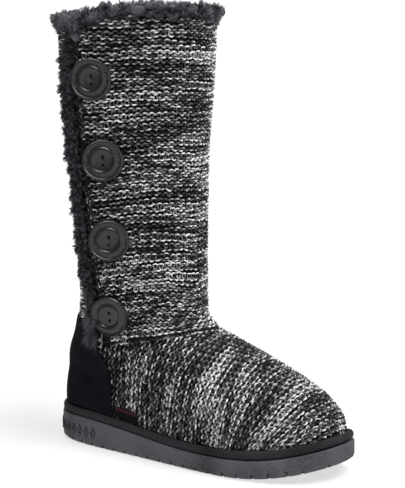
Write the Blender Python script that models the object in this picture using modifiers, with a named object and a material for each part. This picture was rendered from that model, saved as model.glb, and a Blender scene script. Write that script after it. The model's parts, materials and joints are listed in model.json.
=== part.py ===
# A tall knitted winter boot, the right one of a pair, standing on its sole.
# +X points to the toe, +Y to the inner side of the leg and +Z up.
# The origin is on the floor, under the middle of the heel. Lengths are in metres.
import math

import bmesh
import bpy
import numpy as np
from mathutils import Matrix, Vector

# Sizes of the sole
SOLE_LENGTH = 0.272
BALL_WIDTH = 0.096
HEEL_WIDTH = 0.074
HEEL_CENTRE = 0.037  # from the back of the sole to the middle of the heel
HEEL_THICKNESS = 0.0228
FORE_THICKNESS = 0.0142
TOE_SPRING = 0.0135
TOE_SPRING_START = 0.70  # share of the sole length where the sole leaves the floor
TOE_SWING = 0.0082  # how far the toe turns to the inner side
SOLE_EDGE_ROUND = 0.0025
GROOVE_PITCH = 0.0125
GROOVE_WIDTH = 0.0022
GROOVE_DEPTH = 0.0024
NOTCH_LENGTH = 0.011
NOTCH_STEP = math.radians(15)
WEDGE_START = 0.15  # shares of the sole length between which the wedge thins
WEDGE_END = 0.62

# Sizes of the upper
INSTEP_HEIGHT = 0.111  # from the floor to the corner between foot and leg
SHAFT_HEIGHT = 0.347  # from the floor to the edge of the knit at the front
ANKLE_LENGTH = 0.1100
ANKLE_WIDTH = 0.0975
ANKLE_CENTRE = 0.0795  # from the back of the sole to the middle of the ankle
COLLAR_LENGTH = 0.134
COLLAR_WIDTH = 0.121
COLLAR_SETBACK = 0.008  # how far the collar stands behind the ankle
SHAFT_LEAN = 0.0065  # how far the collar leans to the inner side
UPPER_WALL = 0.003
HEM_STEP = 0.002  # the leg's knit laps over the foot's knit
HEM_FADE = 1.1  # levels over which the step fades out above the hem
COLLAR_DIP = 0.008  # the collar is lower behind the flap
FLAP_LIFT = 0.012  # the flap's edge stands off the leg
FLAP_REACH = math.radians(38)  # angle over which the lift fades out forwards
FLAP_CORNER = 0.020  # the flap's upper corner is rounded off by this much
CORNER_REACH = math.radians(22)
SLIT_WIDTH = 0.0070
GAP = 0.0003  # between pieces that meet

# Sizes of the trim
RAND_HEIGHT = 0.0068
RAND_INSET = 0.0003  # the rand stays this much inside the sole's edge
RAND_ROUND = 0.4  # share of the rand's width that its rounded top takes
COUNTER_HEIGHT = 0.108  # from the floor to the counter's top at the back
COUNTER_REACH = 0.081  # from the back of the sole to the counter's front edge
COUNTER_THICKNESS = 0.0015
COUNTER_GAP = 0.0006  # the patch spans the knit's small hollows
COUNTER_SQUARENESS = 4.0
INSOLE_THICKNESS = 0.004
INSOLE_INSET = 0.0015
INSOLE_LEVEL = 0.35  # the footbed's outline follows the upper's wall at this level
COLLAR_FLEECE_WIDTH = 0.0165
COLLAR_FLEECE_HEIGHT = 0.0098
CORNER_FILL = 0.75  # share of the flap's rounded corner that the roll fills
LOCK_RADIUS = 0.0056
LOCK_TAPER = 0.5
STRIP_WIDTH = 0.0150
STRIP_PROUD = 0.0030  # the fleece strip stands above the flap's edge
STRIP_FOOT = 0.096  # height of the strip's lower end in front of the counter
BUTTON_DIAMETER = 0.0325
BUTTON_THICKNESS = 0.0044
BUTTON_RIM = 0.0060
BUTTON_DISH = 0.0014
BUTTON_HOLE = 0.0026
BUTTON_HOLE_SPACING = 0.0060
TAG_LENGTH = 0.026
TAG_HEIGHT = 0.0100
TAG_THICKNESS = 0.0008
TAG_CLEARANCE = 0.0005  # from the counter's front edge to the tag

# Middle radius of the leg, which turns a width across it into an angle
LEG_RADIUS = (ANKLE_WIDTH + COLLAR_WIDTH) / 4

# Angles around the boot run from the back, over the outer side, to the front at half a turn.
FLAP_ANGLE = math.radians(89)
FRONT = math.pi
TURN = 2 * math.pi

# The sole's outline: half widths at five equal steps from heel tip to toe tip,
# as shares of the named width, for the outer and the inner side.
OUTLINE = (
    # width,      outer, inner
    (HEEL_WIDTH, 0.930, 0.920),
    (HEEL_WIDTH, 0.705, 0.704),
    (BALL_WIDTH, 0.468, 0.395),
    (BALL_WIDTH, 0.619, 0.580),
    (BALL_WIDTH, 0.680, 0.840),
)

# Sections of the foot, tilted round the instep. Back and front are shares of the sole's
# length, the rises are shares of the instep height, the heel and side widths are shares of
# the heel width, and the waist, ball and toe widths are shares of the ball width.
# Follow is how far a section follows the sole's top, and swing how far the sole's curve.
FOOT_SECTIONS = (
    # back, back_rise, front, front_rise, heel, side, waist, ball, toe, follow, swing
    (0.024, 0.210, 0.972, 0.218, 0.820, 0.622, 0.386, 0.528, 0.690, 1.00, 1.00),
    (0.019, 0.275, 0.980, 0.305, 0.842, 0.644, 0.404, 0.548, 0.680, 0.80, 1.00),
    (0.019, 0.350, 0.967, 0.430, 0.845, 0.662, 0.427, 0.540, 0.625, 0.45, 0.95),
    (0.023, 0.430, 0.903, 0.575, 0.825, 0.655, 0.427, 0.490, 0.525, 0.20, 0.85),
    (0.032, 0.520, 0.785, 0.720, 0.790, 0.650, 0.440, 0.430, 0.440, 0.05, 0.65),
    (0.045, 0.610, 0.665, 0.835, 0.745, 0.648, 0.458, 0.412, 0.395, 0.00, 0.45),
    (0.061, 0.710, 0.557, 0.918, 0.700, 0.655, 0.478, 0.435, 0.420, 0.00, 0.25),
    (0.077, 0.860, 0.508, 0.998, 0.672, 0.660, 0.500, 0.478, 0.475, 0.00, 0.12),
)

# Sections of the leg. Rise is a share of the way from instep to collar, and flare, drift and
# lean are the shares reached of the collar's size, setback and lean.
LEG_SECTIONS = (
    # rise, tilt, flare, drift, lean
    (0.045, -0.020, 0.00, 0.00, 0.34),
    (0.115, -0.008, 0.04, 0.12, 0.38),
    (0.220, 0.000, 0.10, 0.30, 0.44),
    (0.400, 0.000, 0.26, 0.56, 0.55),
    (0.590, 0.000, 0.50, 0.88, 0.68),
    (0.800, 0.000, 0.86, 0.96, 0.84),
    (1.000, 0.000, 1.00, 1.00, 1.00),
)

HEM_LEVEL = 6.0
SLIT_LEVEL = 7.6
COLLAR_LEVEL = float(len(FOOT_SECTIONS) + len(LEG_SECTIONS) - 1)

# Levels at which the upper's wall has a ring of points
FOOT_RINGS = (0, 0.5, 1, 1.6, 2.2, 2.8, 3.4, 4, 4.6, 5.3, 5.94)
LEG_RINGS = (6.06, 6.5, 7, 7.6, 8.3, 9.1, 10, 11, 12, 12.8, 13.5, 14)

# Buttons: height of each one's middle above the floor as a share of the shaft's height,
# and its angle past the flap's edge
BUTTONS = (
    # rise, angle
    (0.864, math.radians(10.5)),
    (0.685, math.radians(14.5)),
    (0.504, math.radians(14.5)),
    (0.329, math.radians(9.5)),
)

COLOURS = {
    # name: (red, green, blue, roughness)
    "knit": (0.10, 0.10, 0.10, 0.95),
    "fleece": (0.045, 0.045, 0.05, 1.0),
    "suede": (0.008, 0.008, 0.009, 0.9),
    "rand": (0.022, 0.022, 0.024, 0.75),
    "sole": (0.055, 0.055, 0.06, 0.6),
    "button": (0.035, 0.035, 0.04, 0.4),
    "tag": (0.03, 0.012, 0.014, 0.8),
    "insole": (0.06, 0.06, 0.065, 1.0),
}


def clear_scene():
    for old in list(bpy.data.objects):
        bpy.data.objects.remove(old, do_unlink=True)


def new_collection(name):
    group = bpy.data.collections.new(name)
    bpy.context.scene.collection.children.link(group)
    return group


def make_materials():
    made = {}
    for name, (red, green, blue, roughness) in COLOURS.items():
        material = bpy.data.materials.new(name)
        material.use_nodes = True
        shader = material.node_tree.nodes["Principled BSDF"]
        shader.inputs["Base Color"].default_value = (red, green, blue, 1)
        shader.inputs["Roughness"].default_value = roughness
        shader.inputs["Metallic"].default_value = 0
        made[name] = material
    return made


def add_object(name, mesh, group, material=None, smooth=True):
    obj = bpy.data.objects.new(name, mesh)
    group.objects.link(obj)
    if material is not None:
        mesh.materials.append(material)
    if smooth:
        mesh.shade_smooth()
    return obj


def smooth_step(value):
    t = np.clip(value, 0.0, 1.0)
    return t * t * (3 - 2 * t)


def cosine_blend(values, angle):
    """A smooth curve through values given at equal steps from 0 to half a turn."""
    steps = np.arange(len(values))
    knots = math.pi * steps / (len(values) - 1)
    weights = np.linalg.solve(np.cos(np.outer(knots, steps)), np.asarray(values))
    return np.cos(np.multiply.outer(angle, steps)) @ weights


def side_of(angle):
    """Angle from the back along its own side, and -1 on the outer side or 1 on the inner."""
    angle = np.mod(angle, TURN)
    outer = angle <= FRONT
    return np.where(outer, angle, TURN - angle), np.where(outer, -1.0, 1.0)


# The sole's outline and heights. Distances along it are measured from the back of the sole.
def outline_width(along_angle, side):
    outer = cosine_blend([width * share for width, share, _ in OUTLINE], along_angle)
    inner = cosine_blend([width * share for width, _, share in OUTLINE], along_angle)
    return np.where(side < 0, outer, inner)


def swing_at(distance):
    return TOE_SWING * (np.clip(distance, 0, None) / SOLE_LENGTH) ** 2


def sole_bottom(distance):
    rest = 1 - TOE_SPRING_START
    past = np.clip((distance / SOLE_LENGTH - TOE_SPRING_START) / rest, 0, 1)
    return TOE_SPRING * past**2


def sole_top(distance):
    # The wedge thins from behind the heel's middle to behind the ball.
    wedge = smooth_step((distance / SOLE_LENGTH - WEDGE_START) / (WEDGE_END - WEDGE_START))
    thickness = HEEL_THICKNESS + (FORE_THICKNESS - HEEL_THICKNESS) * wedge
    return sole_bottom(distance) + thickness


def outline_point(angle, inset=0.0):
    """Distance along the sole and sideways place of its edge at an angle, moved inwards."""
    theta, side = side_of(angle)
    half = SOLE_LENGTH / 2
    distance = half - (half - inset) * np.cos(theta)
    sideways = side * np.sin(theta) * (outline_width(theta, side) - inset)
    return distance, sideways + swing_at(distance)


# The upper's outer surface, as sections that are blended level by level
def section_table():
    """One row for each level: back, front, widths and how it follows the sole."""
    rows = []
    for row in FOOT_SECTIONS:
        back, back_rise, front, front_rise, heel, side, waist, ball, toe, follow, swing = row
        rows.append((
            back * SOLE_LENGTH,
            back_rise * INSTEP_HEIGHT,
            front * SOLE_LENGTH,
            front_rise * INSTEP_HEIGHT,
            heel * HEEL_WIDTH,
            side * HEEL_WIDTH,
            waist * BALL_WIDTH,
            ball * BALL_WIDTH,
            toe * BALL_WIDTH,
            follow,
            swing,
            SHAFT_LEAN * 0.3 * (1 - swing),
        ))
    for rise, tilt, flare, drift, lean in LEG_SECTIONS:
        length = ANKLE_LENGTH + flare * (COLLAR_LENGTH - ANKLE_LENGTH)
        width = ANKLE_WIDTH + flare * (COLLAR_WIDTH - ANKLE_WIDTH)
        middle = ANKLE_CENTRE - drift * COLLAR_SETBACK
        height = INSTEP_HEIGHT + rise * (SHAFT_HEIGHT - INSTEP_HEIGHT)
        rows.append((
            middle - length / 2,
            height - tilt * length,
            middle + length / 2,
            height + tilt * length,
            *(width / 2,) * 5,
            0.0,
            0.0,
            SHAFT_LEAN * lean,
        ))
    rows = np.array(rows)
    # The first section lies on the sole's top.
    rows[0, 1] = sole_top(rows[0, 0]) + GAP
    rows[0, 3] = sole_top(rows[0, 2]) + GAP
    return rows


SECTIONS = section_table()


def section_at(level):
    """The table's row at a level between its rows, as a smooth curve through them."""
    last = len(SECTIONS) - 1
    start = np.clip(np.floor(level).astype(int), 0, last - 1)
    t = (level - start)[..., None]
    before, here = SECTIONS[np.maximum(start - 1, 0)], SECTIONS[start]
    after, beyond = SECTIONS[start + 1], SECTIONS[np.minimum(start + 2, last)]
    return 0.5 * (
        2 * here
        + (after - before) * t
        + (2 * before - 5 * here + 4 * after - beyond) * t**2
        + (3 * here - before - 3 * after + beyond) * t**3
    )


def collar_drop(angle):
    """How much lower the collar is at an angle than at the front."""
    dip = COLLAR_DIP * np.exp(-(((np.mod(angle, TURN) - FLAP_ANGLE * 0.72) / 0.75) ** 2))
    past_edge = (np.mod(angle, TURN) - FLAP_ANGLE) / CORNER_REACH
    corner = FLAP_CORNER * np.clip(1 - past_edge, 0, 1) ** 2
    in_front = np.mod(angle, TURN) >= FLAP_ANGLE - 1e-6
    return np.where(in_front, np.maximum(corner, dip * 0.7), dip)


def base_surface(level, angle, drop=1.0):
    """Points of the smooth upper, before its hem and flap, on the last axis."""
    level, angle = np.broadcast_arrays(np.asarray(level, float), np.asarray(angle, float))
    section = section_at(level)
    back, back_z, front, front_z = (section[..., i] for i in range(4))
    follow, swing, lean = (section[..., i] for i in (9, 10, 11))
    theta, side = side_of(angle)
    distance = (back + front) / 2 - (front - back) / 2 * np.cos(theta)
    height = (back_z + front_z) / 2 - (front_z - back_z) / 2 * np.cos(theta)
    share = (distance - back) / (front - back)
    straight = sole_top(back) * (1 - share) + sole_top(front) * share
    height = height + follow * (sole_top(distance) - straight)
    steps = np.arange(5)
    knots = math.pi * steps / 4
    weights = np.linalg.solve(np.cos(np.outer(knots, steps)), np.eye(5))
    waves = np.cos(np.multiply.outer(theta, steps)) @ weights
    width = (section[..., 4:9] * waves).sum(-1)
    outer, inner = outline_width(theta, -1.0), outline_width(theta, 1.0)
    own = np.where(side < 0, outer, inner)
    width = width * (1 + swing * (2 * own / (outer + inner) - 1))
    sideways = side * np.sin(theta) * width + swing * swing_at(distance) + lean
    near_collar = smooth_step((level - 11.0) / (COLLAR_LEVEL - 11.0))
    height = height - drop * collar_drop(angle) * near_collar
    return np.stack([distance - HEEL_CENTRE, sideways, height], -1)


def surface_normal(level, angle):
    step = 1e-3
    upper = np.minimum(np.asarray(level, float) + step, COLLAR_LEVEL)
    along = base_surface(upper, angle, 0) - base_surface(upper - 2 * step, angle, 0)
    around = base_surface(level, angle + step, 0) - base_surface(level, angle - step, 0)
    normal = np.cross(around, along)
    return normal / np.linalg.norm(normal, axis=-1, keepdims=True)


def lift_at(level):
    """How far the flap's edge stands off the leg at a level."""
    return FLAP_LIFT * smooth_step((level - HEM_LEVEL + 0.4) / 6.0)


def relief(level, angle):
    """Height of the knit above the smooth upper: the hem's step and the flap's lift."""
    level = np.asarray(level, float)
    above = level >= HEM_LEVEL
    hem = HEM_STEP * np.clip(1 - (level - HEM_LEVEL) / HEM_FADE, 0, 1)
    past_edge = np.mod(angle, TURN) - FLAP_ANGLE
    fade = 1 - smooth_step(past_edge / FLAP_REACH)
    flap = np.where(past_edge >= -1e-6, lift_at(level) * fade, 0.0)
    return np.where(above, hem + flap, 0.0)


def upper_surface(level, angle, proud=0.0):
    """Points at a height above the upper's real outer face."""
    offset = relief(level, angle) + proud
    return base_surface(level, angle) + surface_normal(level, angle) * np.asarray(offset)[..., None]


def level_at(angle, height):
    """The level at which the smooth upper reaches a height at an angle."""
    levels = np.linspace(0, COLLAR_LEVEL, 281)
    heights = base_surface(levels, np.full_like(levels, angle))[:, 2]
    return float(np.interp(height, np.maximum.accumulate(heights), levels))


# Meshes from rings of points
def grid_mesh(name, rings, closed_round, closed_along=False):
    """Quads between neighbouring rings, with their outer face on the right."""
    mesh = bpy.data.meshes.new(name)
    bm = bmesh.new()
    rows = [[bm.verts.new(point) for point in ring] for ring in rings]
    count = len(rows[0])
    last_row = len(rows) if closed_along else len(rows) - 1
    last_column = count if closed_round else count - 1
    for r in range(last_row):
        lower, upper = rows[r], rows[(r + 1) % len(rows)]
        for c in range(last_column):
            after = (c + 1) % count
            bm.faces.new((lower[c], lower[after], upper[after], upper[c]))
    bm.to_mesh(mesh)
    bm.free()
    return mesh


def face_outwards(mesh):
    bm = bmesh.new()
    bm.from_mesh(mesh)
    bmesh.ops.remove_doubles(bm, verts=bm.verts, dist=1e-6)
    bmesh.ops.recalc_face_normals(bm, faces=bm.faces)
    if bm.calc_volume(signed=True) < 0:
        bmesh.ops.reverse_faces(bm, faces=bm.faces)
    bm.to_mesh(mesh)
    bm.free()
    return mesh


def closed_outline_mesh(name, rings):
    """A solid from closed rings whose points mirror each other over the sole's length.

    The first and last ring are closed by strips that run across.
    """
    mesh = bpy.data.meshes.new(name)
    bm = bmesh.new()
    rows = [[bm.verts.new(point) for point in ring] for ring in rings]
    count = len(rows[0])
    for lower, upper in zip(rows, rows[1:]):
        for c in range(count):
            after = (c + 1) % count
            bm.faces.new((lower[c], lower[after], upper[after], upper[c]))
    for row in (rows[0], rows[-1]):
        for c in range(count // 2):
            corners = [row[c], row[c + 1], row[-(c + 1) % count], row[-c % count]]
            bm.faces.new(list(dict.fromkeys(corners)))
    bm.to_mesh(mesh)
    bm.free()
    return face_outwards(mesh)


def apply_boolean(obj, cutter, operation):
    modifier = obj.modifiers.new(operation.lower(), "BOOLEAN")
    modifier.operation = operation
    modifier.object = cutter
    cutter.hide_render = True
    cutter.display_type = "WIRE"


def joined_mesh(name, meshes):
    """Closed shapes that don't touch, as one mesh for a cutter."""
    bm = bmesh.new()
    for mesh in meshes:
        bm.from_mesh(mesh)
        bpy.data.meshes.remove(mesh)
    joined = bpy.data.meshes.new(name)
    bm.to_mesh(joined)
    bm.free()
    return joined


# The pieces
def sole_ring(angles, inset, height):
    distance, sideways = outline_point(angles, inset)
    top, bottom = sole_top(distance), sole_bottom(distance)
    return np.stack([distance - HEEL_CENTRE, sideways, bottom + (top - bottom) * height], -1)


def groove_mesh(name, centre, length, direction):
    """A box for one tread groove, centred on the floor plane below the sole."""
    mesh = bpy.data.meshes.new(name)
    bm = bmesh.new()
    bmesh.ops.create_cube(bm, size=1.0)
    bmesh.ops.scale(bm, vec=(length, GROOVE_WIDTH, 2 * GROOVE_DEPTH), verts=bm.verts)
    turn = Matrix.Rotation(math.atan2(direction[1], direction[0]), 4, "Z")
    bmesh.ops.transform(bm, matrix=Matrix.Translation(centre) @ turn, verts=bm.verts)
    bm.to_mesh(mesh)
    bm.free()
    return mesh


def make_outsole(parts, helpers, materials):
    angles = np.linspace(0, TURN, 60, endpoint=False)
    share = SOLE_EDGE_ROUND / FORE_THICKNESS
    rings = [
        sole_ring(angles, SOLE_EDGE_ROUND, 0.0),
        sole_ring(angles, SOLE_EDGE_ROUND * 0.28, share * 0.35),
        sole_ring(angles, 0.0, share),
        sole_ring(angles, 0.0, 0.9),
        sole_ring(angles, 0.0006, 1.0),
    ]
    sole = add_object(
        "outsole", closed_outline_mesh("outsole", rings), parts, materials["sole"]
    )
    grooves = []
    # Grooves across the sole, halfway between which the origin lies on a lug
    first = math.ceil((0.05 * SOLE_LENGTH - HEEL_CENTRE) / GROOVE_PITCH - 0.5)
    last = math.floor((0.90 * SOLE_LENGTH - HEEL_CENTRE) / GROOVE_PITCH - 0.5)
    for number in range(first, last + 1):
        x = (number + 0.5) * GROOVE_PITCH
        floor = float(sole_bottom(x + HEEL_CENTRE))
        grooves.append(groove_mesh("groove", (x, 0, floor), 2 * BALL_WIDTH, (0, 1)))
    # Short notches round the toe and the heel, where the grooves don't reach the edge
    for middle, spread in ((0.0, 2), (FRONT, 2)):
        for number in range(-spread, spread + 1):
            angle = middle + number * NOTCH_STEP
            ring = sole_ring(np.array([angle, angle + 0.02]), 0.0, 0.0)
            along = ring[1] - ring[0]
            outward = np.array([along[1], -along[0]]) / math.hypot(along[0], along[1])
            centre = (ring[0][0], ring[0][1], ring[0][2])
            grooves.append(groove_mesh("notch", centre, NOTCH_LENGTH, outward))
    cutter = add_object(
        "tread_cutter", joined_mesh("tread_cutter", grooves), helpers, smooth=False
    )
    bpy.context.view_layer.update()
    apply_boolean(sole, cutter, "DIFFERENCE")
    sole.modifiers[-1].use_self = True
    return sole


def make_rand(parts, materials):
    """The band round the upper's foot, on the sole."""
    angles = np.linspace(0, TURN, 60, endpoint=False)
    outer_distance, _ = outline_point(angles, RAND_INSET)
    base = sole_top(outer_distance) + GAP

    def outer_ring(rise, inset):
        distance, side = outline_point(angles, RAND_INSET + inset)
        return np.stack([distance - HEEL_CENTRE, side, base + rise * RAND_HEIGHT], -1)

    def inner_ring(rise):
        points = []
        for angle, low in zip(angles, base):
            level = level_at(angle, low + rise * RAND_HEIGHT)
            points.append(upper_surface(level, angle, 2 * GAP))
        points = np.array(points)
        points[:, 2] = base + rise * RAND_HEIGHT
        return points

    top_edge = outer_ring(1.0, 0.0) * (1 - RAND_ROUND) + inner_ring(1.0) * RAND_ROUND
    rings = [
        inner_ring(0.0),
        outer_ring(0.0, 0.0002),
        outer_ring(0.7, 0.0),
        top_edge,
        inner_ring(1.0),
        inner_ring(0.5),
    ]
    mesh = face_outwards(grid_mesh("rand", rings, True, closed_along=True))
    return add_object("rand", mesh, parts, materials["rand"])


def make_insole(parts, materials):
    angles = np.linspace(0, TURN, 48, endpoint=False)
    inside = -UPPER_WALL - INSOLE_INSET

    def ring(rise, inset):
        points = upper_surface(INSOLE_LEVEL, angles, inside - inset)
        points[:, 2] = sole_top(points[:, 0] + HEEL_CENTRE) + GAP + rise
        return points

    rings = [
        ring(0.0, 0.001),
        ring(INSOLE_THICKNESS * 0.75, 0.0),
        ring(INSOLE_THICKNESS, 0.0015),
    ]
    mesh = closed_outline_mesh("insole", rings)
    return add_object("insole", mesh, parts, materials["insole"])


def upper_angles():
    """Angles of the wall's columns, with one on each edge of the slit."""
    back_edge = FLAP_ANGLE - SLIT_WIDTH / LEG_RADIUS
    behind = np.linspace(0, back_edge, 10)[:-1]
    flap = np.linspace(FLAP_ANGLE, FLAP_ANGLE + FLAP_REACH, 8)[:-1]
    front = np.linspace(FLAP_ANGLE + FLAP_REACH, TURN, 25)[:-1]
    return np.concatenate([behind, [back_edge], flap, front]), len(behind)


def make_upper(parts, materials):
    angles, slit_column = upper_angles()
    levels = FOOT_RINGS + LEG_RINGS
    points = np.array([upper_surface(level, angles) for level in levels])
    mesh = bpy.data.meshes.new("upper")
    bm = bmesh.new()
    rows = [[bm.verts.new(point) for point in ring] for ring in points]
    count = len(angles)
    for r, level in enumerate(levels[:-1]):
        for c in range(count):
            if c == slit_column and level >= SLIT_LEVEL:
                continue
            after = (c + 1) % count
            bm.faces.new((rows[r][c], rows[r][after], rows[r + 1][after], rows[r + 1][c]))
    bm.to_mesh(mesh)
    bm.free()
    upper = add_object("upper", mesh, parts, materials["knit"])
    shell = upper.modifiers.new("wall", "SOLIDIFY")
    shell.thickness = UPPER_WALL
    shell.offset = -1
    shell.use_even_offset = True
    shell.use_quality_normals = True
    return upper


def counter_front(level):
    """Angle at which a level passes the counter's reach."""
    section = section_at(np.asarray(level, float))
    back, front = section[..., 0], section[..., 2]
    return np.arccos(np.clip(((front + back) / 2 - COUNTER_REACH) / ((front - back) / 2), -1, 1))


def counter_top(share):
    """Height of the counter's upper edge at a share of its way round to the front edge."""
    low = HEEL_THICKNESS + RAND_HEIGHT
    rise = (1 - np.abs(share) ** COUNTER_SQUARENESS) ** (1 / COUNTER_SQUARENESS)
    return low + (COUNTER_HEIGHT - low) * rise


def make_counter(parts, materials):
    """The suede heel patch, a shell cut to its outline over the upper's own surface."""
    # Columns crowd towards the front edges, where the outline falls steeply.
    shares = np.sin(np.linspace(-math.pi / 2, math.pi / 2, 25)) * 0.985
    samples = np.linspace(0.0, HEM_LEVEL + 2, 161)
    lower_rows, upper_rows = 7, 4
    just_above_hem = HEM_LEVEL + 0.06
    rings = []
    for share in shares:
        heights = base_surface(samples, share * counter_front(samples))[:, 2]
        foot = base_surface(1.0, share * counter_front(1.0))
        low = float(sole_top(foot[0] + HEEL_CENTRE)) + 3 * GAP + RAND_HEIGHT
        high = max(float(counter_top(share)), low + 0.004)
        bottom, top = np.interp((low, high), heights, samples)
        middle = just_above_hem if top > just_above_hem + 0.2 else (bottom + 2 * top) / 3
        levels = np.concatenate([
            np.linspace(bottom, middle, lower_rows),
            np.linspace(middle, top, upper_rows)[1:],
        ])
        angles = share * counter_front(levels)
        # The patch lies smooth over the hem's step.
        step = 1.35 * relief(np.maximum(levels, HEM_LEVEL), 0.0) * smooth_step((levels - 4.6) / 0.7)
        lift = step + COUNTER_GAP + COUNTER_THICKNESS
        normals = surface_normal(levels, angles)
        rings.append(base_surface(levels, angles) + normals * lift[:, None])
    mesh = grid_mesh("counter", rings, False)
    counter = add_object("heel_counter", mesh, parts, materials["suede"])
    shell = counter.modifiers.new("wall", "SOLIDIFY")
    shell.thickness = COUNTER_THICKNESS
    shell.offset = 1
    shell.use_even_offset = True
    return counter


def make_button(name, rise, past_edge, parts, helpers, materials):
    """A turned two-hole button with its flat back on the flap."""
    radius = BUTTON_DIAMETER / 2
    dish = radius - BUTTON_RIM
    profile = (
        # from the axis, from the back
        (0.0, BUTTON_THICKNESS - BUTTON_DISH),
        (dish * 0.82, BUTTON_THICKNESS - BUTTON_DISH),
        (dish, BUTTON_THICKNESS - 0.0002),
        (dish + BUTTON_RIM * 0.5, BUTTON_THICKNESS),
        (radius - 0.0010, BUTTON_THICKNESS - 0.0005),
        (radius, BUTTON_THICKNESS * 0.62),
        (radius - 0.0006, BUTTON_THICKNESS * 0.25),
        (radius - 0.0030, 0.0),
        (0.0, 0.0),
    )
    mesh = bpy.data.meshes.new(name)
    bm = bmesh.new()
    verts = [bm.verts.new((x, 0, z)) for x, z in profile]
    for first, second in zip(verts, verts[1:]):
        bm.edges.new((first, second))
    bm.to_mesh(mesh)
    bm.free()
    button = add_object(name, mesh, parts, materials["button"])
    turned = button.modifiers.new("turned", "SCREW")
    turned.steps = turned.render_steps = 22
    turned.use_merge_vertices = True
    turned.merge_threshold = 1e-5
    holes = []
    for side in (-1, 1):
        hole = bpy.data.meshes.new("hole")
        bm = bmesh.new()
        bmesh.ops.create_cone(
            bm,
            cap_ends=True,
            segments=12,
            radius1=BUTTON_HOLE / 2,
            radius2=BUTTON_HOLE / 2,
            depth=4 * BUTTON_THICKNESS,
        )
        bmesh.ops.translate(bm, vec=(side * BUTTON_HOLE_SPACING / 2, 0, 0), verts=bm.verts)
        bm.to_mesh(hole)
        bm.free()
        holes.append(hole)
    cutter = add_object(f"{name}_holes", joined_mesh("holes", holes), helpers, smooth=False)
    apply_boolean(button, cutter, "DIFFERENCE")
    angle = FLAP_ANGLE + past_edge
    level = level_at(angle, rise * SHAFT_HEIGHT)
    matrix = button_matrix(level, angle, radius)
    button.matrix_world = matrix
    cutter.matrix_world = matrix
    return button


def button_matrix(level, angle, radius):
    """A frame on the flap with +Z outwards and +X up the leg, clear of the knit below it."""
    step = 0.15
    ahead = upper_surface(level, angle + step)
    behind = upper_surface(level, angle - step)
    above = upper_surface(level + step, angle)
    below = upper_surface(level - step, angle)
    outward = Vector(np.cross(ahead - behind, above - below)).normalized()
    up = Vector(above - below)
    up = (up - outward * up.dot(outward)).normalized()
    side = outward.cross(up)
    frame = Matrix((up, side, outward)).transposed().to_4x4()
    centre = Vector(upper_surface(level, angle))
    # The back rests on the knit's highest point under the button.
    reach = radius * 1.02
    highest = 0.0
    for row in np.linspace(level - 0.75, level + 0.75, 31):
        for turn in np.linspace(angle - 0.36, angle + 0.36, 31):
            if turn < FLAP_ANGLE:
                continue
            offset = Vector(upper_surface(min(row, COLLAR_LEVEL), turn)) - centre
            height = offset.dot(outward)
            if (offset - outward * height).length < reach:
                highest = max(highest, height)
    return Matrix.Translation(centre + outward * (highest + GAP)) @ frame


def lock_mesh(root, tip, radius):
    """One short lock of pile: a cone from its root to a blunt tip."""
    mesh = bpy.data.meshes.new("lock")
    bm = bmesh.new()
    direction = Vector(tip) - Vector(root)
    bmesh.ops.create_cone(
        bm,
        cap_ends=True,
        segments=5,
        radius1=radius,
        radius2=radius * LOCK_TAPER,
        depth=direction.length,
    )
    turn = direction.to_track_quat("Z", "Y").to_matrix().to_4x4()
    middle = Matrix.Translation((Vector(root) + Vector(tip)) / 2)
    bmesh.ops.transform(bm, matrix=middle @ turn, verts=bm.verts)
    bm.to_mesh(mesh)
    bm.free()
    return mesh


def fuse_locks(obj, name, locks, helpers):
    tufts = add_object(name, joined_mesh(name, locks), helpers, smooth=False)
    apply_boolean(obj, tufts, "UNION")
    obj.modifiers[-1].use_self = True


def lump(position, seed):
    """A repeatable waviness between -1 and 1."""
    return math.sin(position * 12.9898 + seed * 4.1414) * math.cos(position * 7.233 + seed)


def collar_frame(angle):
    """A point on the middle of the knit's upper edge, and the outward direction there."""
    # Behind the flap's edge the trim comes in to the leg over a short way.
    blend = smooth_step((FLAP_ANGLE - np.mod(angle, TURN)) / math.radians(24))
    behind = np.mod(angle, TURN) < FLAP_ANGLE
    lift = float(lift_at(COLLAR_LEVEL)) * (1 - float(blend)) if behind else 0.0
    point = upper_surface(COLLAR_LEVEL, angle, lift - UPPER_WALL / 2)
    normal = surface_normal(COLLAR_LEVEL, angle)
    outward = np.array([normal[0], normal[1], 0.0])
    return point, outward / np.linalg.norm(outward)


def collar_edge():
    """Angles of the knit's columns and the height of its upper edge at each."""
    angles, _ = upper_angles()
    heights = np.array([collar_frame(angle)[0][2] for angle in angles])
    return np.append(angles, TURN), np.append(heights, heights[0])


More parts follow.
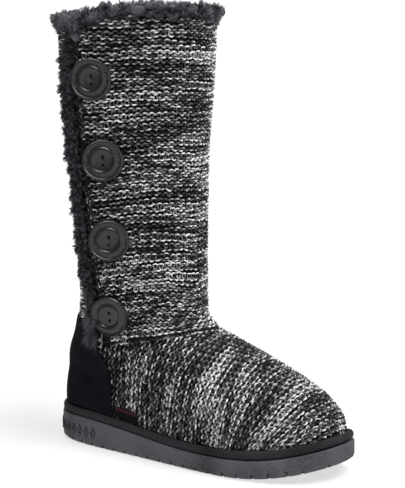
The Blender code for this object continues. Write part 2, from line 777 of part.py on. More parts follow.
def make_collar_fleece(parts, helpers, materials):
    """The roll of pile on the knit's upper edge."""
    around = 8
    knit_angles, knit_heights = collar_edge()
    panel_rim = knit_heights[np.argmax(knit_angles >= FLAP_ANGLE) - 1]
    # One ring on each of the knit's columns, so that the roll lies along its edge
    angles = knit_angles[:-1]
    rings = []
    locks = []
    for number, angle in enumerate(angles):
        point, outward = collar_frame(angle)
        rim = float(np.interp(angle, knit_angles, knit_heights))
        floor = rim + 3 * GAP
        width = COLLAR_FLEECE_WIDTH / 2 * (1 + 0.09 * lump(number * 0.37, 1.0))
        height = COLLAR_FLEECE_HEIGHT * (1 + 0.10 * lump(number * 0.53, 2.0))
        # The roll is thicker where it fills the flap's rounded corner.
        height += CORNER_FILL * max(0.0, panel_rim - rim)
        ring = []
        for step in range(around):
            turn = TURN * step / around
            across = width * math.cos(turn) - 0.18 * COLLAR_FLEECE_WIDTH
            rise = height * max(0.0, 0.5 + 0.62 * math.sin(turn))
            place = point + outward * across
            ring.append((place[0], place[1], floor + rise))
        rings.append(ring)
        side = -1 if number % 2 else 1
        lean = 0.25 + side * (0.45 + 0.2 * lump(number * 0.91, 3.0))
        direction = (Vector(outward) * lean + Vector((0, 0, 1))).normalized()
        base = Vector(point) + Vector(outward) * (0.12 * COLLAR_FLEECE_WIDTH * side)
        base.z = floor + height - 0.5 * COLLAR_FLEECE_HEIGHT
        tip = base + direction * (0.80 * COLLAR_FLEECE_HEIGHT)
        locks.append(lock_mesh(base, tip, LOCK_RADIUS))
    mesh = face_outwards(grid_mesh("collar_fleece", rings, True, closed_along=True))
    fleece = add_object("collar_fleece", mesh, parts, materials["fleece"])
    fuse_locks(fleece, "collar_locks", locks, helpers)
    return fleece


def strip_section():
    """The fleece strip's outline across it: pairs of angle and share of its thickness."""
    width = STRIP_WIDTH / LEG_RADIUS
    # The front leans back under the flap's slanted edge.
    front = FLAP_ANGLE - math.radians(1.6)
    under = front - math.radians(1.6)
    return [
        (under, 0.0),
        (under, 0.45),
        (front, 0.80),
        (front - 0.14 * width, 0.97),
        (front - 0.42 * width, 1.0),
        (front - 0.72 * width, 0.84),
        (front - 0.98 * width, 0.50),
        (front - 1.06 * width, 0.22),
        (front - 1.0 * width, 0.0),
        (front - 0.6 * width, 0.0),
    ]


def make_strip_fleece(parts, helpers, materials):
    """The strip of pile that fills the slit behind the flap's edge."""
    count = 24
    lowest = HEM_LEVEL + 1.0
    low_front = counter_front(lowest)
    knit_angles, knit_heights = collar_edge()
    highest = float(np.interp(FLAP_ANGLE, knit_angles, knit_heights))
    outline = strip_section()
    rings = []
    locks = []
    for number in range(count):
        along = number / (count - 1)
        taper = 0.55 + 0.45 * min(1.0, number / 1.6, 0.6 * (count - 1 - number) / 1.6)
        swell = 1 + 0.10 * lump(number * 0.71, 4.0)

        def place(angle):
            # The lower end follows the counter's edge, and the upper end the collar's roll.
            top = float(np.interp(angle, knit_angles, knit_heights)) - 4 * GAP
            bottom = max(float(counter_top(angle / low_front)) + 4 * GAP, STRIP_FOOT)
            level = level_at(angle, bottom + (top - bottom) * along)
            return base_surface(level, angle), surface_normal(level, angle)

        middle = level_at(FLAP_ANGLE, COUNTER_HEIGHT + (highest - COUNTER_HEIGHT) * along)
        hem = float(relief(max(middle - 0.6, HEM_LEVEL), 0.0))
        floor = hem + 2 * GAP + 0.0025 * (1 - float(smooth_step(along / 0.16)))
        # The last button presses the pile down.
        proud_here = STRIP_PROUD * float(smooth_step((along - 0.06) / 0.16))
        crown = max(float(lift_at(middle)) + proud_here, floor + 0.0020)
        thick = (crown - floor) * taper * swell
        ring = []
        for angle, share in outline:
            point, normal = place(angle)
            ring.append(point + normal * (floor + thick * share))
        rings.append(ring)
        if along > 0.16 and number < count - 2:
            side = 0.25 + 0.25 * lump(number * 1.7, 5.0)
            point, normal = place(outline[4][0] - side * 0.12)
            base = point + normal * (floor + thick * 0.45)
            away = normal + np.array([-0.35 * side, 0, -0.45])
            tip = base + away / np.linalg.norm(away) * (thick * 0.80)
            locks.append(lock_mesh(base, tip, LOCK_RADIUS))
    mesh = closed_loft("strip_fleece", rings)
    strip = add_object("strip_fleece", mesh, parts, materials["fleece"])
    fuse_locks(strip, "strip_locks", locks, helpers)
    return strip


def closed_loft(name, rings):
    """A solid from rings of points, closed by its first and last ring."""
    mesh = bpy.data.meshes.new(name)
    bm = bmesh.new()
    rows = [[bm.verts.new(point) for point in ring] for ring in rings]
    count = len(rows[0])
    for lower, upper in zip(rows, rows[1:]):
        for c in range(count):
            after = (c + 1) % count
            bm.faces.new((lower[c], lower[after], upper[after], upper[c]))
    caps = [bm.faces.new(rows[0]), bm.faces.new(rows[-1])]
    bmesh.ops.triangulate(bm, faces=caps)
    bm.to_mesh(mesh)
    bm.free()
    return face_outwards(mesh)


def make_tag(parts, materials):
    """The small woven tag in front of the counter, just above the rand."""
    rows = []
    start = COUNTER_REACH - HEEL_CENTRE + TAG_CLEARANCE
    for along in np.linspace(0, 1, 6):
        x = start + along * TAG_LENGTH
        low = float(sole_top(x + HEEL_CENTRE)) + RAND_HEIGHT + 3 * GAP
        ring = []
        for height in np.linspace(low, low + TAG_HEIGHT, 4):
            angle = angle_at(x, height)
            ring.append(upper_surface(level_at(angle, height), angle, GAP + TAG_THICKNESS))
        rows.append(ring)
    mesh = grid_mesh("side_tag", rows, False)
    tag = add_object("side_tag", mesh, parts, materials["tag"])
    shell = tag.modifiers.new("wall", "SOLIDIFY")
    shell.thickness = TAG_THICKNESS
    shell.offset = 1
    return tag


def angle_at(x, height):
    """The outer side's angle at which the upper passes a place at a height."""
    angles = np.linspace(0.02, FRONT - 0.02, 160)
    places = [base_surface(level_at(a, height), a)[0] for a in angles]
    return float(np.interp(x, places, angles))


def build():
    clear_scene()
    materials = make_materials()
    parts = new_collection("knitted_boot")
    helpers = new_collection("cutters")
    make_outsole(parts, helpers, materials)
    make_rand(parts, materials)
    make_insole(parts, materials)
    make_upper(parts, materials)
    make_counter(parts, materials)
    make_collar_fleece(parts, helpers, materials)
    make_strip_fleece(parts, helpers, materials)
    for number, (rise, past_edge) in enumerate(BUTTONS, start=1):
        make_button(f"button_{number}", rise, past_edge, parts, helpers, materials)
    make_tag(parts, materials)


build()
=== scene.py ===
# The looks of a tall knitted winter boot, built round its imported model. Lengths are in metres.
# +X points to the toe, +Y to the inner side of the leg and +Z up.
# Angles round the leg run from the back, over the outer side, to the front at half a turn.
import json
import math
from contextlib import contextmanager

import bmesh
import bpy
import numpy as np
from mathutils import Matrix, Vector, noise
from mathutils.bvhtree import BVHTree
from mathutils.kdtree import KDTree


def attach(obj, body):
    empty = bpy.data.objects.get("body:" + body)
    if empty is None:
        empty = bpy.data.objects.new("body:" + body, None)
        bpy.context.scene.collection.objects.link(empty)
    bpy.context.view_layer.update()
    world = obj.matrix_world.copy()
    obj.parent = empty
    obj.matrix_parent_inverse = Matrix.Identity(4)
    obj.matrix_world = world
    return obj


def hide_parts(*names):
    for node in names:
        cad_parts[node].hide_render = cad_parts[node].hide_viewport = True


TURN = 2 * math.pi
FAR = 0.3  # how far outside the boot a ray starts

# The photo's view of the boot
CAMERA_AZIMUTH = math.radians(35.463)
CAMERA_ELEVATION = math.radians(6.789)
CAMERA_PLACE = (0.7092, -0.7816, 0.2879)
FOCAL_PIXELS = 1253.4
FRAME_WIDTH, FRAME_HEIGHT = 405, 488
SENSOR = 36.0
BOOT_CENTRE_PIXEL = 154  # middle of the boot in the photo, which the shift brings to the centre

# The light
ROOM_LIGHT = 0.26
BACKDROP = 1.1
LIGHT_ANGLE = math.radians(36)
LIGHTS = (("key", 3.5, (0.48, 0.02, 0.88)), ("back", 1.1, (-0.55, 0.30, 0.78)))
FLOOR_COLOUR = (0.31, 0.31, 0.315, 1)
FLOOR_GLOW = 0.66
FLOOR_DROP = 0.0002  # how far the floor lies below the sole

# The knit
COURSE_SPACING = 0.0040
YARN_RADIUS = 0.00080
YARN_SIDES = 5
YARN_FLATNESS = 0.80  # width of the yarn in the cloth's plane, as a share of its depth
STEPS_PER_STITCH = 8
LOOP_HEIGHT = 0.74  # half the height of a loop, as a share of the spacing of the courses
LOOP_HEAD = 0.42  # how much flatter the heads and feet of the loops are than a plain wave's
LOOP_BULGE = 0.23  # how far a loop bulges sideways, as a share of its width
LOOP_DEPTH = 0.0010
YARN_SINK = 0.0010  # from the upper's outer face to the middle of the yarn
WALL_SINK = 0.0026  # from the upper's outer face to the dark wall behind the yarn

# How uneven the loops are: sideways in stitches, in height, up and down in courses, in metres
SIDE_JITTER = 0.18
HEIGHT_JITTER = 0.34
RISE_JITTER = 0.24
RISE_WANDER = 0.34
DEPTH_JITTER = 0.0004

# What a yarn's tone is made of: long runs of colour, short ones, its course and a base
LONG_RUN, LONG_RUN_TONE = 4.3, 0.40  # a run's length in stitches, and its share of the tone
SHORT_RUNS, SHORT_RUN_TONE = 2.7, 0.42  # runs in a stitch
COURSE_TONE = 0.20
BASE_TONE = 0.03
# Painted shade: the legs of the loops are painted darker where they lie deeper in the cloth.
LOOP_LEG_PAINTED_SHADE = 0.15  # how much darker the legs of the loops are

LEG_STITCHES = 68
LEG_PIECES = 3
LEG_COLUMNS = LEG_STITCHES * 3 + 1
ROWS_PER_COURSE = 4  # how finely the leg is measured before its courses are spaced
TOP_COURSE_RISE = 0.0016  # how far the last loops stand above the wall
FLAP_ANGLE = math.radians(89.4)
FLAP_CORNER_END = math.radians(114)
SLIT_ANGLE = math.radians(81.0)
HEM_HEIGHT = 0.0823  # the hem's height at the origin, and how it rises to the front
HEM_SLOPE = 0.1713
HEM_CLEAR, RIM_CLEAR = 0.0009, 0.0004  # how near the hem and the rim the leg is measured
LEG_CENTRE_HEIGHTS = (0.105, 0.13, 0.16, 0.20, 0.24, 0.28, 0.31, 0.335)

# Soft creases of the leg: angle and height of both ends, half width and depth
LEG_CREASES = (
    (1.95, 0.2250, 2.75, 0.2330, 0.0060, 0.0011),  # from the buttons to the front
    (1.98, 0.1640, 2.80, 0.1760, 0.0065, 0.0012),
    (1.92, 0.1060, 2.60, 0.1240, 0.0060, 0.0012),
    (2.45, 0.1040, 3.75, 0.1060, 0.0060, 0.0012),  # across the ankle
    (2.60, 0.1300, 3.30, 0.1260, 0.0080, 0.0008),
    (4.10, 0.1420, 5.10, 0.1240, 0.0070, 0.0010),  # on the inner side
    (5.30, 0.1700, 6.20, 0.1600, 0.0080, 0.0009),
    (2.05, 0.1950, 2.50, 0.2010, 0.0070, -0.0007),  # fullness between two buttons
    (2.05, 0.1380, 2.60, 0.1480, 0.0070, -0.0007),
)
LEG_RADIUS = 0.060  # turns the angles of the creases into lengths

FOOT_STITCH_WIDTH = 0.0050
FOOT_COLUMNS = 145
SHORTEST_COURSE = 0.028
SIDE_STITCHES = 20  # in the courses beside the hem, which stop below it
SIDE_STITCH_WIDTH = 0.0054
SIDE_COLUMNS_PER_STITCH = 4
SIDE_STEP = SIDE_STITCH_WIDTH / SIDE_COLUMNS_PER_STITCH
SIDE_COLUMNS = SIDE_STITCHES * SIDE_COLUMNS_PER_STITCH + 1
FOOT_START = 0.020
FAN_START = 0.148  # where the courses start to fan out round the toe
FAN_DEPTH = 0.045  # depth below the floor of the line round which they fan
FAN_END = math.radians(32)
COURSE_TILT = math.radians(12)  # how far the foot's courses lean to the toe
FOOT_HEIGHT = 0.074  # how high above the sole the hem's front lies, and how far forward
HEM_FRONT = 0.1145
SOLE_TOP = 0.0277  # past the sole's end
RAND_HIDES = 0.0042  # height above the sole at which the knit starts, behind the rand

EDGE_STITCH = 0.0049  # the chains along the flap's edge
EDGE_RADIUS = 0.066
EDGE_LOW = 0.1055
EDGE_ROWS = (-0.0012, 0.0008, 0.0030, 0.0052, 0.0074)  # how far each row lies round the leg

# The fleece
HAIR_LENGTH = 0.0036
HAIR_RADIUS = 0.00027
HAIR_SIDES = 3
HAIR_SHARES = (0.0, 0.58, 1.0)  # where a hair's rings and its tip lie along it
HAIR_WIDTHS = (1.0, 0.80)
TUFT_SPREAD = 0.0022  # how far apart the tips of a tuft's hairs end
TUFT_WILDNESS = 0.32  # how much the tufts' directions differ
PILE_SINK = 0.0010
PILE_VOXEL = 0.0015
CURL_SIZE = 0.0100  # size of the pile's soft lumps
ROLL_FROM = 0.0009  # height of the roll's lower edge above the knit's
ROLL_LIFT = 0.0018
ROLL_DROP = 0.0044
ROLL_BLEND = 0.006  # height over which the lift and the drop fade
ROLL_SQUEEZE = 0.86
HAIRS_ON_COLLAR = 15000
HAIRS_ON_STRIP = 9000
HAIRS_ON_STRIP_END = 1400
HAIRS_IN_LINING = 6000
LINING_LOW = 0.21
LINING_LENGTH, STRIP_END_LENGTH = 0.0062, 0.0115

# The buttons, as pairs of radius and height above the back
BUTTON_PROFILE = (
    (0.0140, 0.0), (0.0156, 0.0005), (0.01615, 0.0013), (0.01625, 0.0022), (0.01620, 0.0032),
    (0.01590, 0.0040), (0.01545, 0.0044), (0.01490, 0.0043), (0.01450, 0.0039), (0.01415, 0.0034),
    (0.01340, 0.0032), (0.01120, 0.0032), (0.01040, 0.0034), (0.01000, 0.0039), (0.00955, 0.0042),
    (0.00910, 0.0040), (0.00875, 0.0034), (0.00820, 0.0029), (0.00700, 0.0026), (0.00500, 0.0025),
    (0.00300, 0.0024),
)
BUTTON_TURNS = 72
BUTTON_HOLE = 0.0011
BUTTON_HOLE_PLACE = 0.0031

# The sole's grooves come out at its edge as notches
NOTCH_PITCH = 0.0125
NOTCH_WIDTH = 0.0026
NOTCH_LENGTH = 0.010
NOTCH_HEIGHT = 0.0034

# The raised lozenges round the heel of the sole
HEEL_MIDDLE = (0.005, 0.0)
LOZENGE_WIDTH = 0.0078
LOZENGE_LOW, LOZENGE_HIGH = 0.0055, 0.0170
LOZENGE_END = 0.024
LOZENGE_LEVELS = ((1.0, -0.0003), (0.80, 0.0008), (0.60, 0.0008), (0.40, 0.00005))  # size, height

JOIN_ANGLE = math.radians(50)


def smooth_step(value):
    t = np.clip(value, 0.0, 1.0)
    return t * t * (3 - 2 * t)


def hashed(values, seed):
    """A repeatable number from 0 to 1 for each whole number."""
    mixed = np.sin(np.asarray(values, float) * 12.9898 + seed * 78.233) * 43758.5453
    return mixed - np.floor(mixed)


def wave_noise(place, seed):
    """Smooth noise from 0 to 1 along a line, with one knot at each whole number."""
    start = np.floor(place)
    blend = smooth_step(place - start)
    return hashed(start, seed) * (1 - blend) + hashed(start + 1, seed) * blend


def unit(vectors):
    return vectors / np.maximum(np.linalg.norm(vectors, axis=-1, keepdims=True), 1e-12)


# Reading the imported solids
def solid_tree(node):
    mesh = frame["nodes"][node].data
    verts = [v.co.copy() for v in mesh.vertices]
    return BVHTree.FromPolygons(verts, [tuple(p.vertices) for p in mesh.polygons])


def cast(tree, start, direction):
    """Where a ray first meets a solid, or not-a-number."""
    hit = tree.ray_cast(Vector(start), Vector(direction))[0]
    return np.array(hit) if hit is not None else np.full(3, np.nan)


def leg_direction(angle):
    return np.array([-math.cos(angle), -math.sin(angle), 0.0])


def leg_centre_at(height):
    return np.array([np.interp(height, LEG_CENTRE_HEIGHTS, leg_middles[:, i]) for i in (0, 1)])


def leg_centre(height):
    return np.append(leg_centre_at(height), height)


def leg_point(angle, height, tree=None):
    """The leg's outer face at an angle and a height."""
    centre = leg_centre(height)
    way = leg_direction(angle)
    point = cast(tree or upper_tree, centre + way * FAR, -way)
    # A ray that passes over the rim or through the slit meets the far wall instead.
    return point if np.dot(point - centre, way) > 0.02 else np.full(3, np.nan)


def measure_leg():
    """Middle of the leg at a few heights."""
    middles = []
    for height in LEG_CENTRE_HEIGHTS:
        front = cast(upper_tree, (FAR, 0.0, height), (-1, 0, 0))[0]
        back = cast(upper_tree, (-FAR, 0.0, height), (1, 0, 0))[0]
        # The sides are measured behind the slit, where the flap doesn't lift them.
        outer = cast(upper_tree, (0.018, -FAR, height), (0, 1, 0))[1]
        inner = cast(upper_tree, (0.018, FAR, height), (0, -1, 0))[1]
        middles.append(((front + back) / 2, (outer + inner) / 2))
    return np.array(middles)


def rim_height(angle):
    """Height of the knit's upper edge at an angle."""
    point = leg_point(angle, 0.316)
    inward = -leg_direction(angle)
    for depth in (0.0012, 0.0006, 0.0020):
        start = point + inward * depth
        top = cast(upper_tree, (start[0], start[1], 0.5), (0, 0, -1))
        if not np.isnan(top[2]) and top[2] > 0.25:
            return top[2]
    return 0.32


def fill_gaps(grid):
    """Replaces points that no ray found by their neighbours along a row."""
    for row in grid:
        bad = np.isnan(row[:, 0])
        if bad.all():
            continue
        places = np.arange(len(row))
        for axis in range(3):
            row[bad, axis] = np.interp(places[bad], places[~bad], row[~bad, axis])
    return grid


def grid_normals(grid):
    """Outward normals of a grid whose rows follow each other upwards."""
    around = np.gradient(grid, axis=1)
    along = np.gradient(grid, axis=0)
    return unit(np.cross(along, around))


def sample(grid, rows, columns):
    """Values between a grid's points, by blending the four round each place."""
    rows = np.clip(rows, 0, grid.shape[0] - 1.0001)
    columns = np.clip(columns, 0, grid.shape[1] - 1.0001)
    r, c = np.floor(rows).astype(int), np.floor(columns).astype(int)
    u, v = (rows - r)[..., None], (columns - c)[..., None]
    lower = grid[r, c] * (1 - v) + grid[r, c + 1] * v
    upper = grid[r + 1, c] * (1 - v) + grid[r + 1, c + 1] * v
    return lower * (1 - u) + upper * u


# Meshes
class Gathered:
    """Vertices, faces and a value for each vertex, gathered from many small shapes."""

    def __init__(self):
        self.verts, self.faces, self.values, self.uvs = [], [], [], []
        self.count = 0

    def add(self, verts, faces, values, uvs=None):
        self.verts.append(verts)
        self.faces.append(np.asarray(faces) + self.count)
        self.values.append(values)
        self.uvs.append(np.zeros((len(verts), 2)) if uvs is None else uvs)
        self.count += len(verts)

    def build(self, name, material, smooth=True):
        verts = np.concatenate(self.verts)
        faces = np.concatenate(self.faces)
        mesh = bpy.data.meshes.new(name)
        mesh.vertices.add(len(verts))
        mesh.vertices.foreach_set("co", verts.astype(np.float32).ravel())
        size = faces.shape[1]
        mesh.loops.add(faces.size)
        mesh.loops.foreach_set("vertex_index", faces.astype(np.int32).ravel())
        mesh.polygons.add(len(faces))
        mesh.polygons.foreach_set("loop_start", np.arange(0, faces.size, size, dtype=np.int32))
        mesh.update(calc_edges=True)
        shade = mesh.attributes.new("shade", "FLOAT", "POINT")
        shade.data.foreach_set("value", np.concatenate(self.values).astype(np.float32))
        layer = mesh.uv_layers.new(name="along")
        uvs = np.concatenate(self.uvs)[faces.ravel()]
        layer.data.foreach_set("uv", uvs.astype(np.float32).ravel())
        if smooth:
            mesh.shade_smooth()
        mesh.materials.append(material)
        mesh.validate()
        return place_piece(name, mesh)


def place_piece(name, mesh):
    piece = bpy.data.objects.new(name, mesh)
    bpy.context.scene.collection.objects.link(piece)
    return piece


def finish_piece(piece, slot, *nodes):
    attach(piece, "root")
    if nodes:
        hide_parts(*nodes)
    return piece


def tube(centres, normals, radii):
    """Rings of points round a line of yarn, and the faces between them."""
    tangents = unit(np.gradient(centres, axis=0))
    across = unit(np.cross(tangents, normals))
    up = np.cross(across, tangents)
    ring = np.arange(YARN_SIDES)
    turns = (TURN * ring / YARN_SIDES)[None, :, None]
    rings = (
        centres[:, None]
        + radii[:, None, None] * (
            across[:, None] * np.cos(turns) * YARN_FLATNESS + up[:, None] * np.sin(turns)
        )
    )
    after = (ring + 1) % YARN_SIDES
    low = (np.arange(len(centres) - 1) * YARN_SIDES)[:, None]
    high = low + YARN_SIDES
    quads = np.stack([high + ring, high + after, low + after, low + ring], -1)
    return rings.reshape(-1, 3), quads.reshape(-1, 4)


def yarn_course(gathered, grid, normals, course, stitches, seed, keep, rough=1.0, tone=0.0):
    """One course of loops along a row of the grid, as a bent tube."""
    turns = np.arange(int(stitches * STEPS_PER_STITCH) + 1) * TURN / STEPS_PER_STITCH
    stitch = turns / TURN
    whole = np.floor(stitch + 0.5)

    def jitter(salt, size):
        return (hashed(whole * 3.17 + course * 17.3, seed + salt) - 0.5) * size * rough

    wander = wave_noise(stitch / 3.1 + course * 7.7, seed + 5.0) - 0.5
    along = stitch + LOOP_BULGE * np.sin(2 * turns) + jitter(1.0, SIDE_JITTER)
    height = LOOP_HEIGHT * (1 + jitter(2.0, HEIGHT_JITTER))
    wave = np.cos(turns)
    rise = course + height * wave * (1 + LOOP_HEAD - LOOP_HEAD * wave**2)
    rise = rise + RISE_WANDER * rough * wander + jitter(3.0, RISE_JITTER)
    columns = along / stitches * (grid.shape[1] - 1)
    points = sample(grid, rise, columns)
    outward = unit(sample(normals, rise, columns))
    depth = LOOP_DEPTH * np.cos(2 * turns) - YARN_SINK + jitter(4.0, DEPTH_JITTER)
    centres = points + outward * depth[:, None]
    radii = YARN_RADIUS * (0.86 + 0.30 * wave_noise(stitch * 1.9 + course * 3.3, seed + 6.0))
    long_run = wave_noise(stitch / LONG_RUN + course * 11.3, seed + 7.0)
    short_run = wave_noise(stitch * SHORT_RUNS + course * 5.1, seed + 8.0)
    # Every second course is a little lighter.
    own_tone = (hashed(course, seed + 9.0) + 0.5 * (course % 2)) / 1.5
    shade = LONG_RUN_TONE * long_run + SHORT_RUN_TONE * short_run + COURSE_TONE * own_tone + BASE_TONE
    # The legs of the loops lie deeper, and they are painted darker as painted shade.
    shade = shade - LOOP_LEG_PAINTED_SHADE * (1 - np.cos(2 * turns)) + tone
    use = keep(centres)
    edges = np.flatnonzero(np.diff(np.concatenate([[0], use.astype(int), [0]])))
    for first, last in zip(edges[::2], edges[1::2]):
        if last - first < 4:
            continue
        part = slice(first, last)
        radii[[first, last - 1]] *= 0.3
        verts, quads = tube(centres[part], outward[part], radii[part])
        length = np.repeat(stitch[part] * 2.9, YARN_SIDES)
        round_share = np.tile(np.arange(YARN_SIDES) / YARN_SIDES, last - first)
        uvs = np.column_stack([length, round_share])
        gathered.add(verts, quads, np.repeat(shade[part], YARN_SIDES), uvs)


def everywhere(centres):
    return np.ones(len(centres), bool)


# Materials
def new_material(name):
    material = bpy.data.materials.new(name)
    material.use_nodes = True
    return material, material.node_tree, material.node_tree.nodes["Principled BSDF"]


def add_node(tree, kind, **inputs):
    node = tree.nodes.new(kind)
    for key, value in inputs.items():
        node.inputs[key.replace("_", " ")].default_value = value
    return node


def object_noise(tree, scale, detail=2.0, roughness=0.5):
    """Noise over the piece, with its scale in lumps a metre."""
    place = tree.nodes.new("ShaderNodeTexCoord")
    texture = add_node(tree, "ShaderNodeTexNoise", Scale=scale, Detail=detail, Roughness=roughness)
    tree.links.new(place.outputs["Object"], texture.inputs["Vector"])
    return texture.outputs["Fac"]


def vertex_shade(tree):
    """The tone that a mesh gives to each of its vertices."""
    node = tree.nodes.new("ShaderNodeAttribute")
    node.attribute_name = "shade"
    return node.outputs["Fac"]


def add_share(tree, first, second, share):
    """A value plus a share of a second one."""
    node = tree.nodes.new("ShaderNodeMath")
    node.operation = "MULTIPLY_ADD"
    node.inputs[1].default_value = share
    tree.links.new(second, node.inputs[0])
    tree.links.new(first, node.inputs[2])
    return node.outputs[0]


def textured(name, base, grain, stops, relief, strength, depth, roughness, gloss):
    """A material with colours from a ramp over a base plus a share of a grain, and a relief.

    The base, the grain after its share and the relief are noises. No base is the mesh's shade.
    """
    material, tree, shader = new_material(name)
    value = object_noise(tree, *base) if base else vertex_shade(tree)
    if grain:
        value = add_share(tree, value, object_noise(tree, *grain[1:]), grain[0])
    ramp = tree.nodes.new("ShaderNodeValToRGB")
    elements = ramp.color_ramp.elements
    while len(elements) < len(stops):
        elements.new(0.5)
    for element, (place, colour) in zip(elements, stops):
        element.position = place
        element.color = (*colour, 1) if isinstance(colour, tuple) else (colour,) * 3 + (1,)
    tree.links.new(value, ramp.inputs["Fac"])
    tree.links.new(ramp.outputs["Color"], shader.inputs["Base Color"])
    bump = add_node(tree, "ShaderNodeBump", Strength=strength, Distance=depth)
    tree.links.new(object_noise(tree, *relief), bump.inputs["Height"])
    tree.links.new(bump.outputs["Normal"], shader.inputs["Normal"])
    shader.inputs["Roughness"].default_value = roughness
    shader.inputs["Specular IOR Level"].default_value = gloss
    return material


def fleece_material(name, dark, middle, light):
    stops = ((0.25, dark), (0.62, middle), (1.0, light))
    return textured(name, None, (0.5, 350, 3.0, 0.6), stops, (1400, 3.0), 0.9, 0.0008, 0.9, 0.08)


def suede_material():
    stops = ((0.35, (0.0052, 0.0048, 0.0070)), (0.7, (0.0100, 0.0092, 0.0130)))
    nap = (2200, 3.0, 0.7)
    material = textured("black_suede", (60, 4.0, 0.6), None, stops, nap, 0.5, 0.0003, 0.95, 0.02)
    material.node_tree.nodes["Principled BSDF"].inputs["Sheen Weight"].default_value = 0.01
    return material


def rubber_material(name, dark, light, grain, depth, roughness, gloss):
    stops = ((0.64, dark), (1.0, light))
    fine = (grain, 2.0, 0.7)
    return textured(name, (25,), (0.9, *fine), stops, fine, 1.0, depth, roughness, gloss)


def floor_material():
    material, _, shader = new_material("floor")
    shader.inputs["Base Color"].default_value = FLOOR_COLOUR
    shader.inputs["Emission Color"].default_value = (1, 1, 1, 1)
    shader.inputs["Emission Strength"].default_value = FLOOR_GLOW
    shader.inputs["Roughness"].default_value = 0.9
    shader.inputs["Specular IOR Level"].default_value = 0.0
    return material


# The knitted upper
def crease_depth(angle, height):
    """How far the creases press the leg in at a place."""
    depth = 0.0
    for angle_1, height_1, angle_2, height_2, width, deep in LEG_CREASES:
        run = np.array([(angle_2 - angle_1) * LEG_RADIUS, height_2 - height_1])
        place = np.array([(angle - angle_1) * LEG_RADIUS, height - height_1])
        share = np.clip(np.dot(place, run) / np.dot(run, run), 0, 1)
        gap = np.linalg.norm(place - run * share)
        depth += deep * math.exp(-((gap / width) ** 2))
    return depth


def hem_above(x):
    """Height of the hem at a distance from the heel, which may be a row of them."""
    return HEM_HEIGHT + HEM_SLOPE * x


def leg_grid(courses):
    """Points on the leg for each course, from the hem to the upper edge, with a row beyond each."""
    span = TURN - (FLAP_ANGLE - SLIT_ANGLE)
    angles = FLAP_ANGLE + np.linspace(0, 1, LEG_COLUMNS) * span
    rows = ROWS_PER_COURSE * (courses + 1) + 1
    shares = np.linspace(-0.5, courses + 0.5, rows) / courses
    fine = np.zeros((rows, LEG_COLUMNS, 3))
    for j, angle in enumerate(angles):
        front = leg_point(angle, 0.12)[0]
        for _ in range(6):
            low = hem_above(front)
            front = leg_point(angle, low + 0.0012)[0]
        high = rim_smooth(angle) + TOP_COURSE_RISE
        for i, share in enumerate(shares):
            height = low + (high - low) * share
            measured = min(max(height, low + HEM_CLEAR), rim_exact(angle) - RIM_CLEAR)
            fine[i, j] = leg_point(angle, measured)
            fine[i, j, 2] = height
    fine = fill_gaps(fine)
    grid = np.zeros((courses + 2, LEG_COLUMNS, 3))
    for j in range(LEG_COLUMNS):
        grid[:, j] = even_steps(fine[:, j], None, courses + 2)[0]
    for row in grid:
        for j, angle in enumerate(angles):
            row[j] -= leg_direction(angle) * crease_depth(angle, row[j, 2])
    return grid, angles


def knit_leg():
    courses = int(round((rim_smooth(math.pi) - HEM_HEIGHT - 0.008) / COURSE_SPACING))
    grid, angles = leg_grid(courses)
    normals = -grid_normals(grid)
    rims = np.array([rim_exact(a) for a in angles])

    def keep(centres):
        middle = np.array([leg_centre_at(h) for h in centres[:, 2]])
        offset = centres[:, :2] - middle
        angle = np.mod(np.arctan2(-offset[:, 1], -offset[:, 0]) - FLAP_ANGLE, TURN) + FLAP_ANGLE
        return centres[:, 2] < np.interp(angle, angles, rims) + TOP_COURSE_RISE

    pieces = []
    for part in range(LEG_PIECES):
        gathered = Gathered()
        for course in range(courses):
            if course * LEG_PIECES // courses == part:
                yarn_course(gathered, grid, normals, course + 1.0, LEG_STITCHES, 1.0, keep)
        pieces.append(gathered.build(f"leg_knit_{part + 1}", yarn))
    return pieces


def foot_planes():
    """Middle and upward direction of each course's plane over the foot."""
    planes = []
    way = np.array([math.sin(COURSE_TILT), 0.0, math.cos(COURSE_TILT)])
    for step in range(int(round((FAN_START - FOOT_START) / COURSE_SPACING))):
        x = FOOT_START + step * COURSE_SPACING
        planes.append((np.array([x, 0.0, sole_top_at(x) + 0.001]), way))
    angle = math.pi / 2 - COURSE_TILT
    back = (sole_top_at(FAN_START) + FAN_DEPTH) * math.tan(COURSE_TILT)
    pivot = np.array([FAN_START - back, 0.0, -FAN_DEPTH])
    while angle > FAN_END:
        way = np.array([math.cos(angle), 0.0, math.sin(angle)])
        # The plane's middle lies where it passes the sole's top.
        reach = 0.065
        for _ in range(6):
            x = pivot[0] + way[0] * reach
            reach = (sole_top_at(x) + 0.001 + FAN_DEPTH) / way[2]
        middle = pivot + way * reach
        planes.append((middle, way))
        top = cast(upper_tree, middle + way * FAR, -way)
        angle -= COURSE_SPACING / np.linalg.norm(top - pivot)
    return planes


def sole_top_at(x):
    top = cast(outsole_tree, (x, 0.004, 0.2), (0, 0, -1))[2]
    return top if not np.isnan(top) else SOLE_TOP


def foot_section(middle, way):
    """Points over the foot in a plane, from the outer side to the inner side."""
    low = middle + np.array([0, 0, 0.006])
    outer = cast(upper_tree, low - np.array([0, FAR, 0]), (0, 1, 0))
    inner = cast(upper_tree, low + np.array([0, FAR, 0]), (0, -1, 0))
    centre = middle.copy()
    centre[1] = (outer[1] + inner[1]) / 2 if not np.isnan(outer[1] + inner[1]) else 0.004
    points = []
    for turn in np.linspace(-0.12, math.pi + 0.12, 150):
        ray = np.array([0, -1.0, 0]) * math.cos(turn) + way * math.sin(turn)
        point = cast(upper_tree, centre + ray * FAR, -ray)
        # A low ray can pass below the near side and meet the far one from inside.
        if np.dot(point - centre, ray) > 0.002:
            points.append(point)
    return np.array(points)


